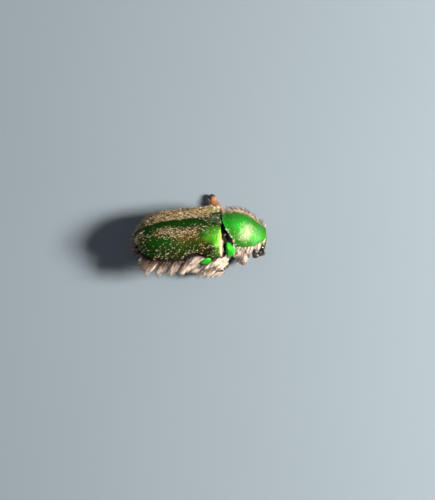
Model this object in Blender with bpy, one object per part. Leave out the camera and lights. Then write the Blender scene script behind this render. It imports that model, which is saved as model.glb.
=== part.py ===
"""A hairy green flower chafer, life size, lying belly down and leaning on its left side with its legs drawn in.

Sizes are in millimetres and become metres, by MM, when a mesh is made into an object.
The body is modelled upright in its own frame: +X to the head, +Y to its left, +Z up, with the origin
between the pronotum and the wing cases at the height of their edges. The empty body_axis then leans it
over. The legs are modelled straight in the resting pose, where the floor is z = 0.
"""

import math
import random

import bmesh
import bpy
from mathutils import Matrix, Vector

MM = 0.001
GAP = 0.2  # clearance between neighbouring plates
BODY_LEAN = math.radians(37.0)  # how far the left side is down
BODY_HEIGHT = 4.8  # of the body's own origin above the floor

ELYTRON_WALL = 0.5
ELYTRON_FRONT = -0.2
SCUTELLUM_LENGTH = 2.45
SCUTELLUM_HALF_BASE = 1.0
SCUTELLUM_THICK = 0.6
STERNITE_COUNT = 5
STERNITE_STEP = 0.14  # how far each belly ring stands over the next
FELT = 0.2  # how far the short coat stands out on flank and belly
TUFTS = (-4.2, -5.55, -6.9, -8.4, -9.3)  # x of the tufts at the belly's sides
EYE_RADIUS = 0.5
LOCK_THICK = 0.5
LOCK_SUNK = 0.45  # depth of a lock's root below where it leaves the skin

GREEN = (0.03, 0.36, 0.04)
DARK_GREEN = (0.03, 0.16, 0.05)
BELLY_BROWN = (0.16, 0.10, 0.06)
LEG_BROWN = (0.45, 0.20, 0.08)
FOOT_BROWN = (0.10, 0.05, 0.03)
BLACK = (0.02, 0.015, 0.015)

rng = random.Random(11)


def curve_through(*points):
    """A smooth function of x through the points, with no overshoot between them."""
    xs = [p[0] for p in points]
    ys = [p[1] for p in points]
    steps = [(ys[i + 1] - ys[i]) / (xs[i + 1] - xs[i]) for i in range(len(xs) - 1)]
    slopes = [steps[0]]
    for before, after in zip(steps, steps[1:]):
        slopes.append(0.0 if before * after <= 0 else 2 * before * after / (before + after))
    slopes.append(steps[-1])

    def at(x):
        x = min(max(x, xs[0]), xs[-1])
        i = max(k for k in range(len(xs) - 1) if xs[k] <= x)
        span = xs[i + 1] - xs[i]
        t = (x - xs[i]) / span
        rise = 3 * t * t - 2 * t * t * t
        return (
            ys[i] * (1 - rise)
            + ys[i + 1] * rise
            + span * (slopes[i] * (t**3 - 2 * t**2 + t) + slopes[i + 1] * (t**3 - t**2))
        )

    return at


# Outlines of the body, each a size against x.
SHIELD_HALF = curve_through(
    (-0.3, 2.0), (1.0, 2.38), (2.0, 2.52), (3.0, 2.36), (4.0, 1.9), (4.8, 1.28), (5.1, 0.95),
)
SHIELD_TOP = curve_through(
    (-0.3, 2.5), (1.0, 2.55), (2.0, 2.35), (3.0, 1.85), (4.0, 0.9), (4.8, 0.0), (5.1, -0.3),
)
SHIELD_EDGE = curve_through((-0.3, 0.3), (1.0, 0.15), (2.0, -0.05), (3.0, -0.25), (4.0, -0.5), (5.1, -0.65))
SHIELD_UNDER = curve_through((0.6, -2.1), (2.0, -2.3), (3.0, -2.0), (3.4, -1.35), (4.0, -1.25), (5.1, -0.95))

CASE_HALF = curve_through(
    (-10.6, 0.3), (-10.4, 0.95), (-10.1, 1.6), (-9.6, 2.4), (-8.8, 2.98), (-7.4, 3.36),
    (-5.5, 3.45), (-4.0, 3.36), (-2.8, 3.34), (-1.4, 3.62), (-0.6, 3.5), (-0.2, 3.05),
)
CASE_TOP = curve_through(
    (-10.6, 0.3), (-10.4, 0.5), (-10.0, 0.9), (-9.4, 1.3), (-8.6, 1.7), (-7.0, 2.1),
    (-5.0, 2.28), (-2.0, 2.38), (-0.2, 2.35),
)
CASE_EDGE = curve_through(
    (-10.6, -0.1), (-9.5, -0.4), (-7.4, -0.45), (-5.0, -0.35), (-3.0, 0.2), (-1.5, -0.5), (-0.2, -0.45),
)
CHEST_HALF = curve_through((-3.6, 3.1), (-2.0, 3.16), (-0.6, 3.05), (0.4, 2.6), (1.0, 2.3))
CHEST_UNDER = curve_through((-3.6, -3.1), (-2.0, -3.2), (-0.5, -3.0), (1.0, -2.3))
BELLY_HALF = curve_through((-10.2, 1.1), (-9.6, 1.95), (-8.6, 2.7), (-7.0, 3.05), (-5.0, 3.15), (-3.6, 3.1))
BELLY_UNDER = curve_through((-10.2, -1.6), (-9.2, -2.25), (-7.5, -2.8), (-5.0, -3.05), (-3.6, -3.1))


def shield_rear(y):
    """x of the pronotum's rear edge: a shallow lobe behind, cut back forward at the rounded corners."""
    outer = min(abs(y) / 2.4, 1.0)
    return 0.05 + 1.2 * outer**3.0


def leaned(point):
    """A point of the upright body, where it lies once the body leans."""
    return Matrix.Rotation(-BODY_LEAN, 3, "X") @ Vector(point) + Vector((0, 0, BODY_HEIGHT))


def new_material(name, colour, roughness=0.4, metallic=0.0):
    material = bpy.data.materials.new(name)
    material.use_nodes = True
    shader = material.node_tree.nodes["Principled BSDF"]
    shader.inputs["Base Color"].default_value = (*colour, 1.0)
    shader.inputs["Roughness"].default_value = roughness
    shader.inputs["Metallic"].default_value = metallic
    material.diffuse_color = (*colour, 1.0)
    return material


def loft(rings):
    """A closed bmesh through rings of points, with a fan of faces over each end."""
    bm = bmesh.new()
    loops = [[bm.verts.new(point) for point in ring] for ring in rings]
    count = len(rings[0])
    for near, far in zip(loops, loops[1:]):
        for i in range(count):
            j = (i + 1) % count
            bm.faces.new((near[i], near[j], far[j], far[i]))
    for loop in (loops[0], loops[-1]):
        middle = bm.verts.new(sum((v.co for v in loop), Vector()) / count)
        for i in range(count):
            bm.faces.new((loop[i], loop[(i + 1) % count], middle))
    bmesh.ops.recalc_face_normals(bm, faces=bm.faces)
    bmesh.ops.triangulate(bm, faces=bm.faces)
    return bm


def ball(centre, radii, turn=None, segments=12, rings=8):
    bm = bmesh.new()
    bmesh.ops.create_uvsphere(bm, u_segments=segments, v_segments=rings, radius=1.0)
    matrix = Matrix.Translation(centre) @ (turn or Matrix.Identity(4)) @ Matrix.Diagonal((*radii, 1.0))
    bm.transform(matrix)
    bmesh.ops.triangulate(bm, faces=bm.faces)
    return bm


def swept(path, halves, side, sides=8):
    """A tapering limb: an oval of half sizes (across side, along side) at each point of the path."""
    rings = []
    points = [Vector(p) for p in path]
    for i, point in enumerate(points):
        ahead = points[min(i + 1, len(points) - 1)] - points[max(i - 1, 0)]
        ahead.normalize()
        flat = Vector(side)
        flat = (flat - ahead * flat.dot(ahead)).normalized()
        across = ahead.cross(flat)
        wide, thick = halves[i]
        ring = []
        for k in range(sides):
            angle = 2 * math.pi * (k + 0.5) / sides
            ring.append(point + across * wide * math.cos(angle) + flat * thick * math.sin(angle))
        rings.append(ring)
    return loft(rings)


def lock(root, way, length, width, droop):
    """A flat, tapered lock of hair, sunk at its root, that bends by droop as it goes out."""
    root, way, droop = Vector(root), Vector(way).normalized(), Vector(droop)
    thin = way.cross(Vector((1, 0, 0)) if abs(way.x) < 0.8 else Vector((0, 1, 0))).normalized()
    path = [root - way * LOCK_SUNK]
    for share in (0.3, 0.7, 1.0):
        path.append(root + way * length * share + droop * length * share * share)
    half = LOCK_THICK / 2
    halves = [(width * 0.36, half), (width * 0.5, half), (width * 0.4, half * 0.8), (0.1, 0.07)]
    return swept(path, halves, thin, sides=5)


def tufted(rows):
    return [lock(*row) for row in rows]


def as_object(name, bm):
    mesh = bpy.data.meshes.new(name)
    bm.to_mesh(mesh)
    bm.free()
    made = bpy.data.objects.new(name, mesh)
    bpy.context.scene.collection.objects.link(made)
    return made


def combined(base, others, operation, solver="MANIFOLD"):
    """The bmesh of base after one Boolean with all of the others."""
    if not others:
        return base
    target = as_object("target", base)
    tools = bpy.data.collections.new("tools")
    bpy.context.scene.collection.children.link(tools)
    for k, other in enumerate(others):
        tool = as_object(f"tool{k}", other)
        bpy.context.scene.collection.objects.unlink(tool)
        tools.objects.link(tool)
    modifier = target.modifiers.new("join", "BOOLEAN")
    modifier.operation = operation
    modifier.operand_type = "COLLECTION"
    modifier.collection = tools
    modifier.solver = solver
    graph = bpy.context.evaluated_depsgraph_get()
    result = bmesh.new()
    result.from_mesh(target.evaluated_get(graph).data)
    for tool in list(tools.objects):
        bpy.data.objects.remove(tool)
    bpy.data.collections.remove(tools)
    bpy.data.objects.remove(target)
    bmesh.ops.triangulate(result, faces=result.faces)
    return result


def largest_body(bm):
    """Keeps only the largest closed surface."""
    unseen = set(bm.faces)
    bodies = []
    while unseen:
        stack = [unseen.pop()]
        body = []
        while stack:
            face = stack.pop()
            body.append(face)
            for edge in face.edges:
                for other in edge.link_faces:
                    if other in unseen:
                        unseen.remove(other)
                        stack.append(other)
        bodies.append(body)
    bodies.sort(key=lambda body: sum(f.calc_area() for f in body))
    for body in bodies[:-1]:
        bmesh.ops.delete(bm, geom=body, context="FACES")
    return bm


def cut_by(bm, point, normal):
    """Takes away what lies beyond the plane, on the side its normal points to, and closes the cut."""
    everything = list(bm.verts) + list(bm.edges) + list(bm.faces)
    bmesh.ops.bisect_plane(bm, geom=everything, plane_co=point, plane_no=normal, clear_outer=True, dist=1e-5)
    rim = [edge for edge in bm.edges if edge.is_boundary]
    bmesh.ops.holes_fill(bm, edges=rim)
    bmesh.ops.triangulate(bm, faces=bm.faces)
    return bm


def node(name, bm, material, parent=None):
    """The finished object of one named part, in metres."""
    largest_body(bm)
    bm.transform(Matrix.Scale(MM, 4))
    made = as_object(name, bm)
    made.data.materials.append(material)
    made.data.shade_smooth()
    made.data.set_sharp_from_angle(angle=math.radians(40))
    if parent:
        made.parent = parent
    return made


def dome(half, top, edge, angle, power=0.9):
    """A point of a rounded roof: angle runs from the ridge, 0, to the edge, a quarter turn."""
    return half * math.sin(angle), edge + (top - edge) * max(math.cos(angle), 0.0) ** power


def hung(half, under, edge, angle, power=0.7):
    """A point of a rounded keel: angle runs from the edge, 0, to the middle line, a quarter turn."""
    return half * max(math.cos(angle), 0.0) ** power, edge + (under - edge) * math.sin(angle) ** 0.95


def pronotum():
    """The shield with the underside of the first body ring, notched below in front for the head."""
    rings = []
    stations = 13
    arc = 15
    front = 5.1
    for s in range(stations):
        share = s / (stations - 1)
        ring = []
        for k in range(2 * arc):
            turn = math.pi * (k / arc - 0.5)
            above = k <= arc
            side = math.sin(turn) if above else math.sin(math.pi - turn)
            rear = shield_rear(2.5 * side)
            if not above:
                rear = max(rear, 0.85)
            x = rear + (front - rear) * share
            if above:
                y, z = dome(SHIELD_HALF(x), SHIELD_TOP(x), SHIELD_EDGE(x), abs(turn), 0.95)
                y = math.copysign(y, side)
            else:
                down = turn - math.pi / 2
                angle = min(down, math.pi - down)
                y, z = hung(SHIELD_HALF(x) - 0.12, SHIELD_UNDER(x), SHIELD_EDGE(x) - 0.18, angle)
                y = y if down < math.pi / 2 else -y
            ring.append(Vector((x, y, z)))
        rings.append(ring)
    middle = sum(rings[-1], Vector()) / len(rings[-1])
    rings.append([middle + (point - middle) * 0.72 + Vector((0.14, 0, 0)) for point in rings[-1]])
    return loft(rings)


def scutellum_half(x):
    share = min(max((ELYTRON_FRONT - x) / SCUTELLUM_LENGTH, 0.0), 1.0)
    return SCUTELLUM_HALF_BASE * (1 - share**1.25)


def scutellum():
    rings = []
    for share in (0.0, 0.2, 0.4, 0.6, 0.8, 0.95):
        x = ELYTRON_FRONT - SCUTELLUM_LENGTH * share
        half = scutellum_half(x)
        top = CASE_TOP(x)
        ring = []
        for k in range(5):
            y = half * (k / 2 - 1)
            ring.append((x, y, top - 0.05 * (y / SCUTELLUM_HALF_BASE) ** 2))
        ring += [(x, half * 0.9, top - SCUTELLUM_THICK), (x, -half * 0.9, top - SCUTELLUM_THICK)]
        rings.append(ring)
    return loft(rings)


def elytron(side):
    """A wing case: a curved wall from the seam round to its edge, waisted behind the shoulder."""
    rings = []
    outer_steps, inner_steps = 12, 9
    xs = [-0.2, -0.5, -1.1, -1.9, -2.7, -3.4, -4.2, -5.2, -6.3, -7.4, -8.4, -9.2, -9.8, -10.2, -10.45, -10.6]
    for x in xs:
        half, top, edge = CASE_HALF(x), CASE_TOP(x), CASE_EDGE(x)
        beside_plate = x > ELYTRON_FRONT - SCUTELLUM_LENGTH
        seam = max(scutellum_half(x) + GAP * 0.9, GAP / 2) if beside_plate else GAP / 2
        ring = []
        first = math.asin(min(seam / half, 0.9))
        for k in range(outer_steps + 1):
            angle = first + (math.pi / 2 - first) * k / outer_steps
            y, z = dome(half, top, edge, angle)
            ring.append((x, side * y, z))
        wall = min(ELYTRON_WALL, 0.45 * half, 0.8 * (top - edge))
        low_half = max(half - wall, seam + 0.08)
        low_top = top - wall
        last = math.asin(min(seam / low_half, 0.95))
        for k in range(inner_steps + 1):
            angle = math.pi / 2 + (last - math.pi / 2) * k / inner_steps
            y, z = dome(low_half, low_top, edge, angle)
            ring.append((x, side * y, z))
        rings.append(ring)
    return loft(rings)


def under_shell_ring(x, half, under, roof_half, roof_top, roof_edge, roof_steps=8, keel_steps=14):
    """A ring of the trunk: a roof that fits under the wing cases, then the bare flank and belly."""
    ring = []
    for k in range(roof_steps + 1):
        turn = math.pi * (k / roof_steps - 0.5)
        y, z = dome(roof_half, roof_top, roof_edge, abs(turn))
        ring.append((x, math.copysign(y, turn), z))
    for k in range(keel_steps + 1):
        turn = math.pi * k / keel_steps
        y, z = hung(half, under, roof_edge - 0.35, min(turn, math.pi - turn))
        ring.append((x, y if turn <= math.pi / 2 else -y, z))
    return ring


def roof_under_cases(x):
    half = CASE_HALF(min(x, -0.9)) - ELYTRON_WALL - GAP * 1.2
    top = min(CASE_TOP(x) - ELYTRON_WALL, CASE_TOP(x) - SCUTELLUM_THICK) - GAP
    return half, top, CASE_EDGE(x)


def chest():
    """The middle and rear body rings of the legs, with side plates and the stumps the legs grow from."""
    rings = []
    for x in (-3.35, -2.6, -1.8, -1.0, -0.4):
        half, top, edge = roof_under_cases(x)
        rings.append(under_shell_ring(x, CHEST_HALF(x) + FELT, CHEST_UNDER(x), half, top, edge))
    neck = (0.0, 0.5, 1.0)
    for k, share in enumerate(neck):
        half = (2.35, 2.2, 2.1)[k]
        top = (1.75, 1.75, 1.75)[k]
        ring = under_shell_ring(0.0, CHEST_HALF(share) - 0.1 * k, CHEST_UNDER(share), half, top, 0.0)
        bent = []
        for _, y, z in ring:
            front = shield_rear(y) - GAP - 0.05 if z > -0.3 else 0.55
            bent.append((-0.2 + (front + 0.2) * (k + 0.6) / 2.6, y, z))
        rings.append(bent)
    return loft(rings)


def side_plates(side):
    """The plate that shows between shield and shoulder, and the bare green plate under the case's waist."""
    shoulder = ball(
        Vector((0.7, side * 2.62, -0.35)),
        (0.48, 0.6, 1.15),
        Matrix.Rotation(side * math.radians(-14), 4, "X") @ Matrix.Rotation(side * math.radians(8), 4, "Z"),
    )
    waist = ball(
        Vector((-2.2, side * 2.78, -1.8)),
        (0.66, 0.5, 0.9),
        Matrix.Rotation(side * math.radians(-18), 4, "X") @ Matrix.Rotation(math.radians(-10), 4, "Y"),
    )
    return [shoulder, waist]


def belly():
    """The rear trunk: belly rings stand a step over the next one behind."""
    rings = []
    length = 6.4
    front = -3.35 - GAP
    per_ring = (0.0, 0.82, 0.97)
    for n in range(STERNITE_COUNT):
        for share in per_ring:
            x = front - length * (n + share) / STERNITE_COUNT
            raised = STERNITE_STEP * share if share < 0.9 else 0.0
            half, top, edge = roof_under_cases(x)
            flank, keel = BELLY_HALF(x) + FELT + raised, BELLY_UNDER(x) - FELT - raised
            rings.append(under_shell_ring(x, flank, keel, half, top, edge))
    rings.append(under_shell_ring(front - length, 1.55, -1.9, 1.35, 0.45, CASE_EDGE(-9.9)))
    return loft(rings)


def pygidium():
    """The last plate of the back, which closes the trunk below the tips of the wing cases."""
    rings = []
    plane_x = -3.35 - 2 * GAP - 6.4 - 0.05
    for share in (0.0, 0.35, 0.7, 0.92, 1.0):
        shrink = math.sqrt(max(1 - share * share, 0.02))
        ring = []
        for k in range(14):
            turn = 2 * math.pi * k / 14
            y = 1.55 * shrink * math.cos(turn)
            z = -1.0 + 0.85 * shrink * math.sin(turn) - 0.25 * share
            ring.append((plane_x - 0.75 * share, y, z))
        rings.append(ring)
    return loft(rings)


HEAD_TOP = Vector((4.6, 0.0, -1.5))
HEAD_TIP = Vector((4.3, 0.0, -3.75))


def head_point(along, out, side):
    """A point of the head: along from crown to lip, out towards the face, side to its left."""
    axis = (HEAD_TIP - HEAD_TOP).normalized()
    face = Vector((-axis.z, 0.0, axis.x))
    return HEAD_TOP + axis * along + face * out + Vector((0.0, side, 0.0))


def head():
    """Bent straight down under the shield: a broad crown, then a long lip plate notched at its end."""
    stations = (
        (0.0, 1.0, 0.62, -0.45), (0.25, 1.3, 0.72, -0.6), (0.75, 1.32, 0.7, -0.6),
        (1.15, 1.05, 0.58, -0.5), (1.6, 0.88, 0.42, -0.35), (2.0, 0.86, 0.34, -0.22),
        (2.25, 0.84, 0.36, -0.16), (2.33, 0.78, 0.34, -0.12),
    )
    rings = []
    for along, half, out, back in stations:
        ring = []
        for k in range(14):
            turn = 2 * math.pi * k / 14
            y = half * math.cos(turn)
            up = math.sin(turn)
            reach = out * up if up > 0 else -back * up
            notch = 0.35 * max(0.0, 1 - abs(y) / 0.45) * max(0.0, (along - 1.9) / 0.43)
            ring.append(head_point(along - notch, reach, y))
        rings.append(ring)
    return loft(rings)


def eye_centre(side):
    return head_point(0.52, -0.02, side * 1.12)


def palps():
    """Short jaw feelers with a brush, behind the lip."""
    made = []
    for side in (-1, 1):
        places = ((1.1, -0.2, 0.3), (1.6, -0.62, 0.42), (2.1, -0.62, 0.5))
        path = [head_point(along, out, side * aside) for along, out, aside in places]
        made.append(swept(path, [(0.25, 0.25), (0.25, 0.25), (0.16, 0.16)], (0, side, 0), sides=6))
    return made


def antenna(side):
    """Stalk, small joints and a club of three leaves, folded back beside the cheek."""
    root = head_point(1.0, 0.3, side * 1.36)
    elbow = head_point(0.86, 0.34, side * 1.84)
    wrist = head_point(1.0, -0.26, side * 1.95)
    stalk = swept([root, elbow], [(0.22, 0.22), (0.28, 0.28)], (0, 0, 1), sides=6)
    pieces = []
    joints = 2
    for k in range(joints):
        near = elbow.lerp(wrist, (k - 0.25) / joints)
        far = elbow.lerp(wrist, (k + 1.1) / joints)
        pieces.append(swept([near, far], [(0.2, 0.2), (0.26, 0.26)], (0, 0, 1), sides=6))
    for leaf in (-1, 0, 1):
        tip = head_point(1.02 + 0.25 * leaf, -1.08 + 0.06 * leaf, side * 1.9)
        start = wrist + Vector((0, 0, -0.14 * leaf))
        middle = start.lerp(tip, 0.55)
        widths = [(0.2, 0.17), (0.28, 0.17), (0.18, 0.12)]
        pieces.append(swept([start, middle, tip], widths, (0, 0, 1), sides=6))
    return combined(stalk, pieces, "UNION")


# Each leg: root and stump end on the upright body, then knee, ankle and foot points in the resting pose.
LEGS = {
    "fore_left": ((2.3, 0.6, -1.7), (2.4, 1.35, -2.5), (3.3, 1.65, 0.6), (4.55, 0.15, 0.42),
                  ((4.95, -0.35, 0.3), (4.9, -1.0, 0.24), (4.3, -1.5, 0.23))),
    "fore_right": ((2.3, -0.6, -1.7), (2.4, -1.35, -2.5), (2.25, -3.45, 1.3), (3.0, -2.0, 0.42),
                   ((3.3, -1.5, 0.3), (3.5, -0.9, 0.24), (3.5, -0.2, 0.23))),
    "mid_left": ((0.1, 1.2, -2.2), (-0.1, 2.4, -2.95), (-1.05, 5.0, 0.55), (0.65, 1.95, 0.42),
                 ((0.95, 1.25, 0.3), (0.95, 0.5, 0.24), (0.6, -0.4, 0.23))),
    "mid_right": ((0.1, -1.2, -2.2), (-0.1, -2.2, -3.0), (-3.5, -4.0, 1.5), (-0.15, -4.1, 0.45),
                  ((0.4, -3.7, 0.3), (0.45, -3.0, 0.24), (0.15, -2.1, 0.23))),
    "hind_left": ((-2.9, 1.2, -2.4), (-3.0, 2.2, -3.3), (-6.4, 2.1, 0.5), (-9.3, 0.6, 0.42),
                  ((-9.8, 0.15, 0.3), (-10.05, -0.35, 0.24), (-10.1, -1.0, 0.23))),
    "hind_right": ((-2.9, -1.2, -2.4), (-3.0, -2.1, -3.15), (-6.5, -3.0, 0.9), (-8.9, -2.4, 0.42),
                   ((-9.25, -1.8, 0.3), (-9.0, -1.1, 0.24), (-8.2, -0.7, 0.23))),
}
FLOOR_SIDE = (0.0, 0.0, 1.0)


def stump(leg):
    """The leg's first joint, part of the trunk, ending in a flat face square to the thigh's start."""
    root, end, knee, _, _ = LEGS[leg]
    hip = leaned(end)
    start = leaned(root)
    way = (Vector(knee) - hip).normalized()
    path = [start, start.lerp(hip, 0.6), hip, hip + way * 0.3]
    bm = swept(path, [(0.62, 0.62), (0.58, 0.55), (0.45, 0.42), (0.42, 0.4)], FLOOR_SIDE, sides=8)
    cut_by(bm, hip + way * 0.1, way)
    back = Matrix.Rotation(BODY_LEAN, 4, "X") @ Matrix.Translation((0, 0, -BODY_HEIGHT))
    bm.transform(back)
    return bm


def thigh(leg):
    _, end, knee, ankle, _ = LEGS[leg]
    hip, knee, ankle = leaned(end), Vector(knee), Vector(ankle)
    way = (knee - hip).normalized()
    wide = {"fore": 0.55, "mid_": 0.66, "hind": 0.72}[leg[:4]]
    start = hip + way * (0.1 + GAP)
    path = [start.lerp(knee, share) for share in (0.0, 0.12, 0.4, 0.75, 1.0)] + [knee + way * 0.36]
    halves = [(0.36, 0.36), (0.42, 0.38), (wide, 0.42), (wide * 0.8, 0.4), (0.42, 0.4), (0.25, 0.25)]
    bm = swept(path, halves, FLOOR_SIDE, sides=10)
    shin = (ankle - knee).normalized()
    mitre = (way + shin).normalized()
    return cut_by(bm, knee - mitre * GAP / 2, mitre)


def shin(leg):
    _, end, knee, ankle, _ = LEGS[leg]
    hip, knee, ankle = leaned(end), Vector(knee), Vector(ankle)
    thigh_way = (knee - hip).normalized()
    way = (ankle - knee).normalized()
    path = [knee - way * 0.3] + [knee.lerp(ankle, share) for share in (0.0, 0.25, 0.6, 0.9, 1.0)]
    halves = [(0.22, 0.24), (0.34, 0.34), (0.3, 0.3), (0.34, 0.3), (0.42, 0.34), (0.4, 0.32)]
    base = swept(path, halves, FLOOR_SIDE, sides=8)
    across = way.cross(Vector(FLOOR_SIDE)).normalized()
    if leg.endswith("right"):
        across = -across
    spurs = []
    for k, share in enumerate((0.5, 0.72, 0.93) if leg.startswith("fore") else (0.55,)):
        foot = knee.lerp(ankle, share)
        tip = foot + across * (0.72 + 0.04 * k) + way * 0.22
        halves = [(0.26, 0.22), (0.22, 0.2), (0.06, 0.06)]
        spurs.append(swept([foot, foot.lerp(tip, 0.6), tip], halves, FLOOR_SIDE, sides=5))
    for turn in (-1, 1):
        foot = ankle - way * 0.2 + across * 0.2 * turn
        tip = ankle + way * 0.12 + across * 0.62 * turn
        spurs.append(swept([foot, tip], [(0.2, 0.18), (0.06, 0.06)], FLOOR_SIDE, sides=5))
    bm = combined(base, spurs, "UNION")
    mitre = (thigh_way + way).normalized()
    cut_by(bm, knee + mitre * GAP / 2, -mitre)
    return cut_by(bm, Vector((0, 0, 0)), Vector((0, 0, -1)))


def foot(leg):
    """Five small joints that widen forward, and two claws."""
    _, _, knee, ankle, points = LEGS[leg]
    knee, ankle = Vector(knee), Vector(ankle)
    way = (ankle - knee).normalized()
    route = [ankle + way * GAP] + [Vector(p) for p in points]
    lengths = [0.0]
    for near, far in zip(route, route[1:]):
        lengths.append(lengths[-1] + (far - near).length)

    def along(share):
        want = share * lengths[-1]
        i = max(k for k in range(len(route) - 1) if lengths[k] <= want + 1e-9)
        return route[i].lerp(route[i + 1], (want - lengths[i]) / (lengths[i + 1] - lengths[i]))

    path, halves = [], []
    shares = (0.0, 0.18, 0.34, 0.5, 0.66, 0.94)
    for near, far in zip(shares, shares[1:]):
        path += [along(near), along(far - 0.035)]
        halves += [(0.2, 0.2), (0.27, 0.27)]
    path.append(along(0.97))
    halves.append((0.2, 0.2))
    base = swept(path, halves, FLOOR_SIDE, sides=6)
    claws = []
    end = along(0.9)
    ahead = (along(1.0) - along(0.85)).normalized()
    across = ahead.cross(Vector(FLOOR_SIDE)).normalized()
    for turn in (-1, 1):
        bend = end + ahead * 0.42 + across * 0.3 * turn
        tip = end + ahead * 0.72 + across * 0.24 * turn + Vector((0, 0, -0.12))
        claws.append(swept([end, bend, tip], [(0.15, 0.15), (0.13, 0.13), (0.05, 0.05)], FLOOR_SIDE, sides=5))
    bm = combined(base, claws, "UNION")
    return cut_by(bm, Vector((0, 0, 0)), Vector((0, 0, -1)))


def jittered(vector, by=0.1):
    return tuple(part + rng.uniform(-by, by) for part in vector)


def varied(value, share=0.12):
    return value * (1 + rng.uniform(-share, share))


def flank_locks(side):
    """Long hair of the chest's flank, combed back and out, with a lower row on the side that is up."""
    locks = []
    rows = ((-1.3, 2.7, 0.9, 0.95, -0.02),)
    if side < 0:
        rows = ((-1.85, 2.62, 1.3, 0.75, -0.55), (-2.3, 2.25, 0.72, 0.6, -0.5))
    for row, (height, reach, length, outward, down) in enumerate(rows):
        for k in range(5):
            x = 0.25 - 0.66 * k - 0.2 * row
            way = jittered((-0.5, side * outward, down))
            locks.append(((x, side * reach, height), way, varied(length), 0.9, (-0.25, 0.0, 0.05 * side)))
    return locks


def belly_locks(side):
    """Tufts of two wide locks at the side of each belly ring, over a lower row on the side that is up."""
    locks = []
    for n, middle in enumerate(TUFTS):
        for k in (-1, 1):
            x = middle - 0.27 * k
            reach = BELLY_HALF(x) * 0.9
            outward, down, height, scale = (0.65, -0.5, -1.8, 1.0) if side < 0 else (0.95, -0.05, -1.1, 0.62)
            way = jittered((-0.58 - 0.06 * k, side * outward, down), 0.05)
            root = (x, side * reach, height)
            locks.append((root, way, varied(1.95) * scale, 0.92, (-0.1, 0.0, 0.05 * side)))
            if side < 0:
                under = (x - 0.3, side * reach * 0.72, -2.4 + 0.1 * n)
                way = jittered((-0.75, side * 0.45, -0.7))
                locks.append((under, way, varied(1.15), 0.85, (-0.2, 0.0, 0.1)))
    return locks


def shield_locks(side):
    """Hair below the shield's edge, thickest at the base of the front leg."""
    locks = []
    for k in range(5):
        x = 3.9 - 0.56 * k
        half = SHIELD_HALF(x) * 0.86
        outward, down = (0.7, -0.6) if side < 0 else (0.9, -0.3)
        root = (x, side * half, SHIELD_EDGE(x) - 0.7)
        locks.append((root, jittered((-0.1, side * outward, down)), varied(1.0), 0.72, (-0.15, 0.0, -0.15)))
    return locks


def tail_locks():
    """A fringe round the last plate, pointing back."""
    locks = []
    for k in range(7):
        turn = math.pi * (k / 6)
        y = 1.35 * math.cos(turn)
        z = -1.15 - 0.65 * math.sin(turn)
        way = (-0.85, 0.45 * math.cos(turn), -0.3 * math.sin(turn) - 0.05)
        locks.append(((-10.62, y, z), way, varied(0.6), 0.72, (-0.05, 0.0, -0.08)))
    return locks


def thigh_locks(leg):
    """A fringe along the rear edge of a thigh."""
    _, end, knee, _, _ = LEGS[leg]
    hip, knee = leaned(end), Vector(knee)
    way = (knee - hip).normalized()
    across = way.cross(Vector(FLOOR_SIDE)).normalized()
    if across.x > 0:
        across = -across
    locks = []
    for share in (0.38, 0.6):
        root = hip.lerp(knee, share) + across * 0.42
        locks.append((root, across + way * 0.5, varied(0.62), 0.8, (0, 0, 0.1)))
    return locks


def build():
    for old in list(bpy.data.objects):
        bpy.data.objects.remove(old)
    axis = bpy.data.objects.new("body_axis", None)
    axis.rotation_euler = (-BODY_LEAN, 0, 0)
    axis.location = (0, 0, BODY_HEIGHT * MM)
    bpy.context.scene.collection.objects.link(axis)

    shell = new_material("bright_shell", GREEN, 0.3, 0.6)
    case = new_material("wing_case", DARK_GREEN, 0.3, 0.5)
    trunk = new_material("hairy_trunk", BELLY_BROWN, 0.7)
    limb = new_material("leg_brown", LEG_BROWN, 0.45)
    toe = new_material("foot_brown", FOOT_BROWN, 0.45)
    eye = new_material("eye_black", BLACK, 0.15)

    below = tufted(shield_locks(-1) + shield_locks(1)) + [stump("fore_left"), stump("fore_right")]
    node("pronotum", combined(pronotum(), below, "UNION"), shell, axis)
    node("scutellum", scutellum(), case, axis)
    for side, word in ((1, "left"), (-1, "right")):
        node(f"elytron_{word}", elytron(side), case, axis)
        node(f"eye_{word}", ball(eye_centre(side), (EYE_RADIUS,) * 3, segments=12, rings=8), eye, axis)
        node(f"antenna_{word}", antenna(side), toe, axis)
    plates = side_plates(-1) + side_plates(1)
    stumps = [stump(leg) for leg in ("mid_left", "mid_right", "hind_left", "hind_right")]
    flanks = tufted(flank_locks(-1) + flank_locks(1))
    node("thorax", combined(chest(), plates + stumps + flanks, "UNION"), trunk, axis)
    node("abdomen", combined(belly(), tufted(belly_locks(-1) + belly_locks(1)), "UNION"), trunk, axis)
    node("pygidium", combined(pygidium(), tufted(tail_locks()), "UNION"), trunk, axis)
    sockets = [ball(eye_centre(side), (EYE_RADIUS + GAP,) * 3, segments=12, rings=8) for side in (-1, 1)]
    node("head", combined(combined(head(), palps(), "UNION"), sockets, "DIFFERENCE"), shell, axis)
    for leg in LEGS:
        upper = combined(thigh(leg), tufted(thigh_locks(leg)), "UNION")
        cut_by(upper, Vector((0, 0, 0)), Vector((0, 0, -1)))
        node(f"femur_{leg}", upper, limb)
        node(f"tibia_{leg}", shin(leg), limb)
        node(f"tarsus_{leg}", foot(leg), toe)
    stand_on_origin()


def stand_on_origin():
    """Moves everything so that the origin is under the middle of the model's box, on the floor."""
    bpy.context.view_layer.update()
    solids = [item for item in bpy.data.objects if item.type == "MESH"]
    corners = [item.matrix_world @ vertex.co for item in solids for vertex in item.data.vertices]
    low = Vector([min(c[k] for c in corners) for k in range(3)])
    high = Vector([max(c[k] for c in corners) for k in range(3)])
    middle = Vector(((low.x + high.x) / 2, (low.y + high.y) / 2, low.z))
    for item in bpy.data.objects:
        if item.parent is None:
            item.location -= middle
    bpy.context.view_layer.update()


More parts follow.
